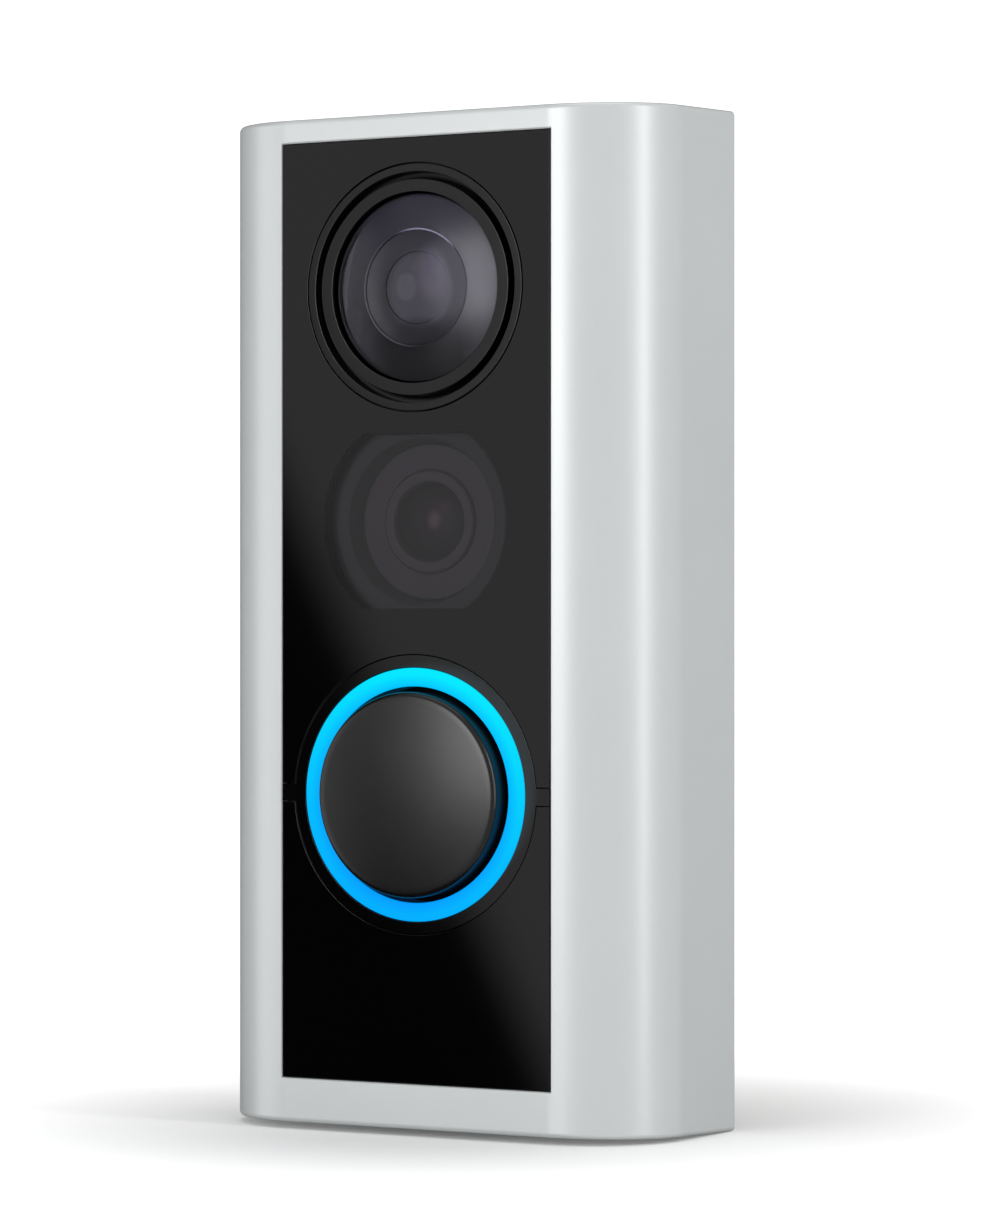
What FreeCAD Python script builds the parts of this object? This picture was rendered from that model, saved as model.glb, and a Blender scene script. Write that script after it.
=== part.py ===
import FreeCAD, Part

import math
import os

import Sketcher
from FreeCAD import Rotation, Vector

# A door-viewer video doorbell: the outdoor unit of a pair that is clamped through a door.
# +X is to the right of someone facing the unit, +Y goes into the door and +Z is up.
# The origin is on the viewer tube's axis, in the plane of the door's outer face.
# Depths are measured backwards from the front face, so a depth of stack_depth is the door.

doc = FreeCAD.newDocument("doorbell")

DRIVING = {
    "silver shell": [
        ("body_width", 49.0, "width over the sides at the back rim"),
        ("body_height", 98.6, "height at the back rim"),
        ("shell_depth", 19.5, "front face to back rim"),
        ("stack_depth", 20.0, "front face to the door's face"),
        ("draft_angle", 2.0, "degrees that all four sides flare towards the rim"),
        ("corner_radius", 9.7, "upright front corners"),
        ("inner_corner", 6.4, "upright corners of the space inside"),
        ("edge_round", 0.5, "edges of the two ends"),
        ("lens_to_top", 17.4, "viewer axis to the top of the rim"),
        ("side_wall", 2.0, "side wall"),
        ("front_wall", 1.2, "front wall"),
        ("end_wall", 1.6, "top and bottom walls"),
        ("rim_wall", 1.0, "wall behind the seal's ledge"),
        ("ledge_depth", 16.0, "depth of the ledge that carries the rim seal"),
    ],
    "black face": [
        ("window_width", 29.8, "opening in the shell's front"),
        ("window_height", 90.6, "opening in the shell's front"),
        ("window_top", 14.4, "opening's top edge above the viewer axis"),
        ("window_chamfer", 0.14, "bright edge round the opening"),
        ("panel_gap", 0.1, "gap round each face panel"),
        ("panel_recess", 0.05, "panels lie this far behind the front face"),
        ("panel_thickness", 1.3, "face panels"),
        ("arm_height", 1.6, "side arms of the button surround"),
    ],
    "viewer lens": [
        ("lens_radius", 9.6, "edge of the front lens"),
        ("lens_lip", 0.45, "how far the inner ring's lip covers the lens's edge"),
        ("lens_fit", 0.05, "gap round each lens in its bore"),
        ("retainer_wall", 0.9, "inner ring, beyond the lens's edge"),
        ("groove_width", 0.5, "dark groove between the inner ring and the trim ring"),
        ("trim_width", 0.85, "outer trim ring"),
        ("lens_edge_depth", 2.2, "depth of the front lens's edge"),
        ("lens_seat_depth", 5.2, "depth of the barrel's step behind the front lens"),
        ("lens_crown", 2.5, "rise of the front lens's dome above its edge"),
        ("lens_hollow", 5.7, "radius of the hollow in the front lens's back"),
        ("relay_radius", 6.9, "second and third lenses"),
        ("barrel_wall", 0.8, "lens barrel, beyond the front lens's edge"),
        ("barrel_front", 2.6, "depth of the barrel's front, where the inner ring ends"),
        ("barrel_end", 14.9, "depth of the barrel's back end"),
        ("seal_section", 0.42, "lens seal's section radius"),
    ],
    "door tube": [
        ("tube_radius", 6.5, "outside of the thread"),
        ("tube_bore", 5.3, "inside of the tube"),
        ("tube_reach", 30.0, "tube's length beyond the door's outer face"),
        ("shoulder_radius", 6.7, "plain shoulder inside the back plate"),
        ("flange_inset", 0.5, "tube's flange inside the barrel's outline"),
    ],
    "camera": [
        ("camera_drop", 22.35, "camera axis below the viewer axis"),
        ("shroud_radius", 10.05, "camera shroud"),
        ("shroud_half_height", 8.4, "shroud's flats above and below its axis"),
        ("shroud_bore", 8.05, "opening in the shroud"),
        ("diffuser_radius", 7.4, "infrared light pipe"),
        ("diffuser_depth", 3.2, "depth of its front"),
        ("camera_barrel_radius", 4.95, "camera's lens barrel"),
        ("camera_barrel_depth", 2.9, "depth of its front"),
        ("camera_lens_radius", 3.8, "camera's front lens"),
    ],
    "button": [
        ("button_drop", 48.5, "button axis below the viewer axis"),
        ("surround_margin", 1.55, "window's edge to the black ring round the light ring"),
        ("surround_width", 1.22, "black ring, beyond the light ring"),
        ("light_width", 1.78, "light ring's visible band"),
        ("cap_gap", 0.5, "gap between the light ring and the cap"),
        ("surround_back", 6.0, "depth of the black ring's back, on the light ring's foot"),
        ("cap_proud", 1.6, "cap's rim stands out this far"),
        ("cap_crown", 0.5, "crown of the cap's face above its rim"),
        ("cap_flange", 0.9, "flange that keeps the cap in, beyond the cap"),
        ("cap_stop_depth", 2.25, "depth of the light ring's step"),
        ("nub_depth", 4.3, "depth of the silicone dome's nub, behind the cap's post"),
    ],
    "inside": [
        ("chassis_width", 31.2, "inner frame"),
        ("chassis_top", 14.9, "inner frame's top above the viewer axis"),
        ("chassis_bottom", 77.6, "inner frame's bottom below the viewer axis"),
        ("chassis_wall", 1.2, "inner frame's walls"),
        ("chassis_front", 1.7, "depth of the inner frame's front flange"),
        ("deck_depth", 3.0, "depth of the back of the inner frame's front wall"),
        ("board_depth", 9.0, "depth of the circuit board's front"),
        ("board_thickness", 1.0, "circuit board"),
        ("board_width", 35.0, "circuit board"),
        ("board_top", 12.9, "board's top edge below the viewer axis"),
        ("board_bottom", 76.9, "board's bottom edge below the viewer axis"),
        ("plate_front", 16.6, "depth of the back plate's front"),
        ("plate_back", 18.5, "depth of the back plate's back"),
        ("ear_thickness", 1.4, "inner frame's ears, clamped by the case screws"),
        ("boss_radius", 2.4, "screw bosses and posts"),
        ("boss_side", 18.4, "case screws from the centre line"),
        ("boss_high", 11.6, "upper case screws above the viewer axis"),
        ("boss_low", 74.6, "lower case screws below the viewer axis"),
        ("screw_radius", 1.0, "case screws"),
        ("head_height", 1.25, "case screws' heads, with the gap that sinks them"),
        ("pir_drop", 69.0, "motion sensor below the viewer axis"),
        ("pir_half_width", 11.0, "sheet of small lenses in front of the motion sensor"),
        ("pir_half_height", 5.5, "sheet of small lenses"),
        ("pir_sheet_back", 0.75, "back of that sheet behind the face panel's back"),
        ("slot_front", 11.4, "depth of the speaker slots' front edge"),
        ("slot_back", 15.2, "depth of the speaker slots' back edge"),
        ("slot_width", 1.4, "speaker slots"),
        ("slot_pitch", 3.2, "speaker slots"),
        ("mic_side", 12.0, "microphone's port to the left of the centre line"),
        ("mic_depth", 12.0, "depth of the microphone's port"),
        ("port_radius", 0.6, "microphone's port"),
        ("pad_width", 32.0, "adhesive pad"),
        ("pad_top", 20.0, "adhesive pad's top edge below the viewer axis"),
        ("pad_bottom", 68.0, "adhesive pad's bottom edge below the viewer axis"),
        ("pad_sink", 0.3, "recess in the back plate that holds the pad"),
        ("clearance", 0.15, "gap left between separate pieces"),
    ],
}


class Size:
    """A number together with the spreadsheet formula that it comes from."""

    def __init__(self, value, formula):
        self.value = float(value)
        self.formula = formula

    @staticmethod
    def of(other):
        if isinstance(other, Size):
            return other
        return Size(other, f"({other})" if other < 0 else f"{other}")

    def joined(self, other, sign, value):
        return Size(value, f"({self.formula} {sign} {other.formula})")

    def __add__(self, other):
        other = Size.of(other)
        return self.joined(other, "+", self.value + other.value)

    def __sub__(self, other):
        other = Size.of(other)
        return self.joined(other, "-", self.value - other.value)

    def __mul__(self, other):
        other = Size.of(other)
        return self.joined(other, "*", self.value * other.value)

    def __truediv__(self, other):
        other = Size.of(other)
        return self.joined(other, "/", self.value / other.value)

    def __radd__(self, other):
        return Size.of(other) + self

    def __rsub__(self, other):
        return Size.of(other) - self

    def __rmul__(self, other):
        return Size.of(other) * self

    def __neg__(self):
        return Size(-self.value, f"(0 - {self.formula})")


def tangent(angle):
    return Size(math.tan(math.radians(angle.value)), f"tan({angle.formula})")


def fill_sheet():
    """Writes the driving dimensions to the spreadsheet and returns them as sizes by name."""
    sheet = doc.addObject("Spreadsheet::Sheet", "sizes")
    found = {}
    row = 1
    for group, entries in DRIVING.items():
        sheet.set(f"A{row}", group)
        row += 1
        for alias, value, note in entries:
            sheet.set(f"A{row}", alias)
            sheet.set(f"B{row}", str(value))
            sheet.set(f"C{row}", note)
            sheet.setAlias(f"B{row}", alias)
            found[alias] = Size(value, f"sizes.{alias}")
            row += 1
    doc.recompute()
    return found


size = fill_sheet()


def depth(distance):
    """The Y coordinate of a plane at that depth behind the front face."""
    return distance - size["stack_depth"]


# ---- drawing helpers ----

PARTS = []


def keep(label, feature):
    """Marks a finished feature as one piece of the doorbell."""
    feature.Label = label
    PARTS.append(feature)
    return feature


def bind(feature, **sizes):
    """Sets properties and ties each to its formula."""
    for name, wanted in sizes.items():
        wanted = Size.of(wanted)
        path = name.replace("__", ".")
        if "__" not in name:
            setattr(feature, name, wanted.value)
        feature.setExpression(path, wanted.formula)
    return feature


def place(feature, x=0, y=0, z=0, turn=None):
    """Puts a feature's own origin at x, y, z."""
    x, y, z = Size.of(x), Size.of(y), Size.of(z)
    feature.Placement.Base = Vector(x.value, y.value, z.value)
    if turn:
        feature.Placement.Rotation = turn
    bind(feature, Placement__Base__x=x, Placement__Base__y=y, Placement__Base__z=z)
    return feature


def block(x0, x1, y0, y1, z0, z1):
    """A box between two corners."""
    box = doc.addObject("Part::Box", "block")
    bind(box, Length=Size.of(x1) - x0, Width=Size.of(y1) - y0, Height=Size.of(z1) - z0)
    return place(box, x0, y0, z0)


TO_BACK = Rotation(Vector(1, 0, 0), -90)


def rod(radius, y0, y1, x=0, z=0):
    """A cylinder along Y."""
    cylinder = doc.addObject("Part::Cylinder", "rod")
    bind(cylinder, Radius=radius, Height=Size.of(y1) - y0)
    return place(cylinder, x, y0, z, TO_BACK)


def upright(radius, z0, z1, x, y):
    """A cylinder along Z."""
    cylinder = doc.addObject("Part::Cylinder", "upright")
    bind(cylinder, Radius=radius, Height=Size.of(z1) - z0)
    return place(cylinder, x, y, z0)


def cone(radius0, radius1, y0, y1, x=0, z=0):
    """A cone along Y."""
    piece = doc.addObject("Part::Cone", "cone")
    bind(piece, Radius1=radius0, Radius2=radius1, Height=Size.of(y1) - y0)
    return place(piece, x, y0, z, TO_BACK)


def fuse(*pieces):
    """Several solids joined into one feature; solids that don't touch stay separate."""
    if len(pieces) == 1:
        return pieces[0]
    joined = doc.addObject("Part::MultiFuse", "fuse")
    joined.Shapes = list(pieces)
    return joined


def cut(base, *tools):
    """The base less every tool."""
    made = doc.addObject("Part::Cut", "cut")
    made.Base = base
    made.Tool = fuse(*tools)
    return made


def common(base, tool):
    made = doc.addObject("Part::Common", "common")
    made.Base = base
    made.Tool = tool
    return made


def new_body(name):
    return doc.addObject("PartDesign::Body", name)


def new_sketch(body, plane, name):
    """A sketch on one of the body's own origin planes."""
    sketch = body.newObject("Sketcher::SketchObject", name)
    origin_plane = next(f for f in body.Origin.OriginFeatures if f.Role == plane)
    sketch.AttachmentSupport = [(origin_plane, "")]
    sketch.MapMode = "FlatFace"
    return sketch


def dimension_point(sketch, geometry, end, x, y):
    """Dimensions one end of a line, or a circle's centre, from the sketch's origin."""
    for kind, wanted in (("DistanceX", Size.of(x)), ("DistanceY", Size.of(y))):
        constraint = Sketcher.Constraint(kind, -1, 1, geometry, end, wanted.value)
        index = sketch.addConstraint(constraint)
        sketch.setExpression(f"Constraints[{index}]", wanted.formula)


def draw_polygon(sketch, points):
    """A closed outline of straight lines, with every corner dimensioned."""
    corners = [Vector(Size.of(x).value, Size.of(y).value, 0) for x, y in points]
    first = sketch.GeometryCount
    count = len(corners)
    for index, corner in enumerate(corners):
        line = Part.LineSegment(corner, corners[(index + 1) % count])
        sketch.addGeometry(line, False)
    for index in range(count):
        following = first + (index + 1) % count
        sketch.addConstraint(Sketcher.Constraint("Coincident", first + index, 2, following, 1))
    for index, (x, y) in enumerate(points):
        dimension_point(sketch, first + index, 1, x, y)


def draw_rectangle(sketch, x0, x1, y0, y1):
    draw_polygon(sketch, [(x0, y0), (x1, y0), (x1, y1), (x0, y1)])


def draw_circle(sketch, radius, x=0, y=0):
    radius, x, y = Size.of(radius), Size.of(x), Size.of(y)
    centre = Vector(x.value, y.value, 0)
    index = sketch.addGeometry(Part.Circle(centre, Vector(0, 0, 1), radius.value), False)
    dimension_point(sketch, index, 3, x, y)
    number = sketch.addConstraint(Sketcher.Constraint("Radius", index, radius.value))
    sketch.setExpression(f"Constraints[{number}]", radius.formula)


def turned(name, outline, x=0, z=0):
    """A solid of revolution about a line along Y, from an outline of (radius, y) points."""
    body = new_body(name)
    sketch = new_sketch(body, "XY_Plane", name + "_section")
    draw_polygon(sketch, outline)
    turn = body.newObject("PartDesign::Revolution", name + "_turn")
    turn.Profile = sketch
    turn.ReferenceAxis = (sketch, ["V_Axis"])
    turn.Angle = 360
    return place(body, x, 0, z)


def tube(name, inner, outer, y0, y1, x=0, z=0):
    """A plain ring about a line along Y."""
    return turned(name, [(inner, y0), (outer, y0), (outer, y1), (inner, y1)], x, z)


def slab(name, rectangle, y, thickness, taper=None):
    """A rectangle (x0, x1, z0, z1) facing the front, padded backwards from y."""
    body = new_body(name)
    sketch = new_sketch(body, "XZ_Plane", name + "_outline")
    draw_rectangle(sketch, *rectangle)
    pad = body.newObject("PartDesign::Pad", name + "_pad")
    pad.Profile = sketch
    pad.Reversed = True
    bind(pad, Length=thickness)
    if taper is not None:
        bind(pad, TaperAngle=taper)
    place(body, 0, y, 0)
    doc.recompute()
    return body


def pocket_circle(body, name, radius, x=0, z=0):
    """Cuts a round hole straight through a slab."""
    sketch = new_sketch(body, "XZ_Plane", name + "_circle")
    draw_circle(sketch, radius, x, z)
    hole = body.newObject("PartDesign::Pocket", name)
    hole.Profile = sketch
    hole.Type = "ThroughAll"
    hole.Midplane = True
    doc.recompute()
    return hole


def round_edges(body, name, radius, wanted):
    """Fillets the edges of the body's tip that the test picks."""
    base = body.Tip
    shape = base.Shape
    picked = [f"Edge{i + 1}" for i, edge in enumerate(shape.Edges) if wanted(edge)]
    fillet = body.newObject("PartDesign::Fillet", name)
    fillet.Base = (base, picked)
    bind(fillet, Radius=radius)
    doc.recompute()
    return fillet


def runs_along(edge, axis):
    """True for a straight edge that runs mostly along an axis."""
    if len(edge.Vertexes) != 2:
        return False
    run = edge.Vertexes[1].Point - edge.Vertexes[0].Point
    return abs(run.dot(axis)) > 0.9 * run.Length


# ---- sizes that follow from the driving ones ----

half_width = size["body_width"] / 2
flare = tangent(size["draft_angle"])
rim_top = size["lens_to_top"]
rim_bottom = size["lens_to_top"] - size["body_height"]
front_y = depth(Size.of(0))
window_bottom = size["window_top"] - size["window_height"]
panel_front = depth(size["panel_recess"])
panel_back = depth(size["panel_recess"] + size["panel_thickness"])
board_front = depth(size["board_depth"])
board_back = depth(size["board_depth"] + size["board_thickness"])
plate_front = depth(size["plate_front"])
plate_back = depth(size["plate_back"])
button_z = -size["button_drop"]
camera_z = -size["camera_drop"]
pir_z = -size["pir_drop"]
camera_seat = panel_back + 1.85
speaker_x = 0.7
mic_x = -size["mic_side"]
lens_bore = size["lens_radius"] + size["lens_fit"]
relay_bore = size["relay_radius"] + size["lens_fit"]
barrel_radius = size["lens_radius"] + size["barrel_wall"]
retainer_radius = size["lens_radius"] + size["retainer_wall"]
trim_bore = retainer_radius + size["groove_width"]
trim_radius = trim_bore + size["trim_width"]
surround_radius = size["window_width"] / 2 - size["surround_margin"]
light_radius = surround_radius - size["surround_width"]
light_bore = light_radius - size["light_width"]
cap_radius = light_bore - size["cap_gap"]
flange_radius = cap_radius + size["cap_flange"]
surround_back = depth(size["surround_back"])
plate_wall = size["rim_wall"] + 0.2
case_screws = [
    (side * size["boss_side"], height)
    for side in (-1, 1)
    for height in (size["boss_high"], -size["boss_low"])
]


def inside_of_shell(wall, end_wall, at_depth):
    """Half width, top and bottom of the space inside a wall of the shell, at a depth."""
    shrink = (size["shell_depth"] - at_depth) * flare
    return (
        half_width - shrink - wall,
        rim_top - shrink - end_wall,
        rim_bottom + shrink + end_wall,
    )


# ---- silver shell ----


def drafted_block(name, wall, end_wall, from_depth, length, corner=None):
    """A block that flares like the shell, inset from it by the walls, from one depth."""
    half, top, bottom = inside_of_shell(wall, end_wall, from_depth)
    rectangle = (-half, half, bottom, top)
    body = slab(name, rectangle, depth(from_depth), length, size["draft_angle"])
    if corner is not None:
        nearest = body.Shape.BoundBox.YMin

        def front_corner(edge):
            at_front = abs(edge.CenterOfMass.y + body.Placement.Base.y - nearest) < 0.01
            return at_front and runs_along(edge, Vector(0, 0, 1))

        round_edges(body, name + "_corners", corner, front_corner)
    return body


def speaker_slots():
    """Slots in the bottom wall, under the speaker, and the microphone's port beside them."""
    low = rim_bottom - 1
    high = rim_bottom + size["end_wall"] + 2
    tools = []
    y0, y1 = depth(size["slot_front"]), depth(size["slot_back"])
    for index in range(-2, 3):
        middle = speaker_x + index * size["slot_pitch"]
        half = size["slot_width"] / 2
        tools.append(block(middle - half, middle + half, y0, y1, low, high))
    tools.append(upright(size["port_radius"], low, high, mic_x, depth(size["mic_depth"])))
    return tools


def make_shell():
    outer = drafted_block("shell_outer", 0, 0, Size.of(0), size["shell_depth"], size["corner_radius"])

    def end_edge(edge):
        mid = edge.CenterOfMass
        on_end = any(
            abs(abs(face.normalAt(0, 0).z) - 1) < 0.01
            for face in outer.Tip.Shape.ancestorsOfType(edge, Part.Face)
        )
        return on_end and mid.y < size["shell_depth"].value - 0.01

    round_edges(outer, "shell_end_rounds", size["edge_round"], end_edge)
    hollow = drafted_block(
        "shell_hollow",
        size["side_wall"],
        size["end_wall"],
        size["front_wall"],
        size["shell_depth"] - size["front_wall"] + 1,
        size["inner_corner"],
    )
    ear_depth = size["board_depth"] - size["ear_thickness"]
    bosses = [rod(size["boss_radius"], front_y, depth(ear_depth), x, z) for x, z in case_screws]
    rebate = drafted_block(
        "shell_rebate",
        size["rim_wall"],
        size["rim_wall"],
        size["ledge_depth"],
        size["shell_depth"] - size["ledge_depth"] + 1,
    )
    half_window = size["window_width"] / 2
    opening = block(-half_window, half_window, front_y - 1, depth(4), window_bottom, size["window_top"])
    chamfer = size["window_chamfer"]
    wide, low, high = half_window + chamfer, window_bottom - chamfer, size["window_top"] + chamfer
    bevel = slab("window_bevel", (-wide, wide, low, high), front_y, chamfer, Size.of(-45))
    pilot = size["screw_radius"] + 0.02
    pilots = [rod(pilot, depth(3.4), depth(ear_depth) + 1, x, z) for x, z in case_screws]
    space = cut(hollow, *bosses)
    return keep("front_shell", cut(outer, space, rebate, opening, bevel, *pilots, *speaker_slots()))


make_shell()


# ---- inner frame, face gasket and face panels ----


def shroud_outline(extra, y0, y1):
    """The camera shroud's outline, a disc with two flats, grown by extra."""
    disc = rod(size["shroud_radius"] + extra, y0, y1, 0, camera_z)
    reach = size["shroud_half_height"] + extra
    wide = size["shroud_radius"] + 1
    flats = block(-wide, wide, y0, y1, camera_z - reach, camera_z + reach)
    return common(disc, flats)


def make_chassis():
    half = size["chassis_width"] / 2
    top, bottom = size["chassis_top"], -size["chassis_bottom"]
    wall = size["chassis_wall"]
    front, deck = depth(size["chassis_front"]), depth(size["deck_depth"])
    inset = 0.2
    plateau_half = size["window_width"] / 2 - inset
    plateau_low, plateau_high = window_bottom + inset, size["window_top"] - inset
    tray = cut(
        block(-half, half, front, board_front, bottom, top),
        block(-half + wall, half - wall, deck, board_front + 1, bottom + wall, top - wall),
    )
    plateau = block(-plateau_half, plateau_half, panel_back, deck, plateau_low, plateau_high)
    ears = []
    for x, z in case_screws:
        side = 1 if x.value > 0 else -1
        reach = side * (size["boss_side"] + size["boss_radius"])
        x0, x1 = sorted((side * (half - wall), reach), key=lambda s: s.value)
        ears.append(block(x0, x1, board_front - size["ear_thickness"], board_front, z - 3.2, z + 3.2))
    lens_collar = rod(barrel_radius + 1.8, front, depth(Size.of(7.5)))
    button_collar = rod(surround_radius + 0.85, front, surround_back, 0, button_z)
    camera_collar = rod(size["shroud_radius"] + 1.3, front, camera_seat + 1.2, 0, camera_z)
    posts = [rod(2.3, front, board_front, x, z) for x, z in board_screw_places()]
    solid = fuse(tray, plateau, lens_collar, camera_collar, button_collar, *ears, *posts)
    gap = size["clearance"]
    pir_wide, pir_high = size["pir_half_width"], size["pir_half_height"]
    pir_back = panel_back + size["pir_sheet_back"]
    side_gap = pir_high + gap
    tools = [
        rod(barrel_radius + gap, front_y, board_front),
        rod(retainer_radius + 2 * size["seal_section"] + 0.03, front_y, panel_back + 1.0),
        shroud_outline(gap, front_y, camera_seat),
        rod(size["shroud_bore"] + 0.5, front_y, camera_seat + 2, 0, camera_z),
        rod(surround_radius + gap, front_y, board_front, 0, button_z),
        block(-pir_wide - gap, pir_wide + gap, front_y, pir_back, pir_z - side_gap, pir_z + side_gap),
        block(2 - pir_wide, pir_wide - 2, front_y, deck + 1, pir_z + 1 - pir_high, pir_z - 1 + pir_high),
    ]
    tools += [rod(0.65, deck, board_front + 1, x, z) for x, z in board_screw_places()]
    tools += [rod(size["screw_radius"] + gap, deck, board_front + 1, x, z) for x, z in case_screws]
    return keep("inner_chassis", cut(solid, *tools))


def board_screw_places():
    """Four screws that hold the circuit board to the inner frame."""
    x = size["chassis_width"] / 2 - size["chassis_wall"] - 1.9
    heights = (-size["board_top"] - 2.4, -size["board_bottom"] + 6.4)
    return [(side * x, z) for side in (-1, 1) for z in heights]


def make_face_gasket():
    half = size["chassis_width"] / 2
    top, bottom = size["chassis_top"], -size["chassis_bottom"] + 0.8
    y0 = depth(size["front_wall"])
    inner = size["window_width"] / 2
    ring = cut(
        block(-half, half, y0, depth(size["chassis_front"]), bottom, top),
        block(-inner, inner, y0 - 1, board_front, window_bottom, size["window_top"]),
    )
    return keep("face_gasket", ring)


def panel_edges():
    """Left, right, top and bottom edges that the two face panels share."""
    half = size["window_width"] / 2 - size["panel_gap"]
    return -half, half, size["window_top"] - size["panel_gap"], window_bottom + size["panel_gap"]


def make_face_panels():
    left, right, top, bottom = panel_edges()
    gap, thickness = size["panel_gap"], size["panel_thickness"]
    upper_low = button_z + size["arm_height"] / 2 + gap
    lower_high = button_z - size["arm_height"] / 2 - gap
    upper = slab("upper_face_panel", (left, right, upper_low, top), panel_front, thickness)
    pocket_circle(upper, "lens_hole", trim_radius + gap)
    pocket_circle(upper, "upper_button_notch", surround_radius + gap, 0, button_z)
    lower = slab("lower_face_panel", (left, right, bottom, lower_high), panel_front, thickness)
    pocket_circle(lower, "lower_button_notch", surround_radius + gap, 0, button_z)
    keep("upper_face_panel", upper)
    keep("lower_face_panel", lower)


make_chassis()
make_face_gasket()
make_face_panels()


# ---- viewer lens and door tube ----


def spherical_cap(apex_y, edge_y, edge_radius, z=0):
    """A ball along Y whose front surface passes through an apex and a rim circle."""
    rise = edge_y - apex_y
    ball_radius = (edge_radius * edge_radius + rise * rise) / (2 * rise)
    ball = doc.addObject("Part::Sphere", "ball")
    bind(ball, Radius=ball_radius)
    return place(ball, 0, apex_y + ball_radius, z)


def make_lens_rings():
    y0 = panel_front
    keep("lens_trim_ring", tube("lens_trim_ring", trim_bore, trim_radius, y0, panel_back))
    bevel = 0.12
    outer, inner = retainer_radius, size["lens_radius"] - size["lens_lip"]
    back = depth(size["barrel_front"])
    lip_back = depth(size["lens_edge_depth"] - 0.3)
    outline = [
        (inner + bevel, y0),
        (outer - bevel, y0),
        (outer, y0 + bevel),
        (outer, back),
        (lens_bore, back),
        (lens_bore, lip_back),
        (inner, lip_back),
        (inner, y0 + bevel),
    ]
    keep("lens_retainer_ring", turned("lens_retainer_ring", outline))
    ring = doc.addObject("Part::Torus", "lens_seal")
    bind(ring, Radius1=retainer_radius + size["seal_section"] + 0.01, Radius2=size["seal_section"])
    place(ring, 0, panel_back + size["seal_section"] + 0.1, 0, TO_BACK)
    keep("lens_seal_ring", ring)


def make_lenses():
    edge_y = depth(size["lens_edge_depth"])
    seat = depth(size["lens_seat_depth"])
    apex_y = edge_y - size["lens_crown"]
    body = rod(size["lens_radius"], apex_y - 1, seat)
    dome = spherical_cap(apex_y, edge_y, size["lens_radius"])
    hollow = spherical_cap(seat - 3.4, seat, size["lens_hollow"])
    keep("front_lens", cut(common(body, dome), hollow))
    relay = size["relay_radius"]
    first = depth(Size.of(6.2))
    second_front = spherical_cap(first, first + 0.9, relay)
    second_back = spherical_cap(first + 1.0, first + 2.4, relay - 1.6)
    second = cut(common(rod(relay, first - 1, first + 2.4), second_front), second_back)
    keep("second_lens", second)
    third_y = first + 3.4
    thickness = 2.2
    third_front = spherical_cap(third_y, third_y + 0.8, relay)
    third = common(rod(relay, third_y - 1, third_y + thickness), third_front)
    keep("third_lens", third)
    keep("lens_spacer_front", tube("lens_spacer_front", relay - 1.1, relay, seat, first + 0.6))
    keep("lens_spacer_rear", tube("lens_spacer_rear", relay - 1.1, relay, first + 2.4, third_y + 0.5))


def make_barrel():
    outer = barrel_radius
    front, end = depth(size["barrel_front"]), depth(size["barrel_end"])
    lens_seat = depth(size["lens_seat_depth"])
    relay_end = depth(Size.of(11.8))
    bore = size["tube_bore"] + 0.2
    outline = [
        (lens_bore, front),
        (outer, front),
        (outer, end),
        (bore, end),
        (bore, relay_end),
        (relay_bore, relay_end),
        (relay_bore, lens_seat),
        (lens_bore, lens_seat),
    ]
    barrel = turned("barrel_blank", outline)
    cable_slot = block(-3.2, 3.2, depth(Size.of(12.6)), end + 1, -outer - 1, -3)
    pilots = [rod(0.57, end - 2.4, end + 1, x, z) for x, z in flange_screw_places()]
    keep("lens_barrel", cut(barrel, cable_slot, *pilots))


def flange_screw_places():
    """Three small screws through the tube's flange, clear of the cable at the bottom."""
    ring = (barrel_radius + size["tube_bore"]) / 2 + 0.35
    return [(ring * math.cos(math.radians(a)), ring * math.sin(math.radians(a))) for a in (90, -30, 210)]


def make_tube():
    bore, outer = size["tube_bore"], size["tube_radius"]
    front, back = depth(size["barrel_end"]), plate_front
    door = Size.of(0)
    end = size["tube_reach"]
    bevel = 0.6
    flange = barrel_radius - size["flange_inset"]
    outline = [
        (bore, front),
        (flange, front),
        (flange, back),
        (size["shoulder_radius"], back),
        (size["shoulder_radius"], door),
        (outer, door),
        (outer, end),
        (outer - bevel, end + bevel),
        (bore, end + bevel),
    ]
    tools = [rod(0.85, front - 1, back + 1, x, z) for x, z in flange_screw_places()]
    tools += [rod(1.45, back - 0.9, back + 1, x, z) for x, z in flange_screw_places()]
    keep("door_tube", cut(turned("tube_blank", outline), *tools))
    screws = []
    for x, z in flange_screw_places():
        screws.append(rod(1.4, back - 0.9, back - 0.05, x, z))
        screws.append(rod(0.55, front - 2.2, back - 0.9, x, z))
    keep("flange_screws", fuse(*screws))


def make_tube_seal():
    """Foam ring that seals the tube to the hole in the door."""
    inner = size["shoulder_radius"] + size["clearance"]
    keep("tube_seal", tube("tube_seal", inner, Size.of(12.0), plate_back, Size.of(0)))


make_lens_rings()
make_lenses()
make_barrel()
make_tube()
make_tube_seal()


# ---- camera ----


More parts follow.
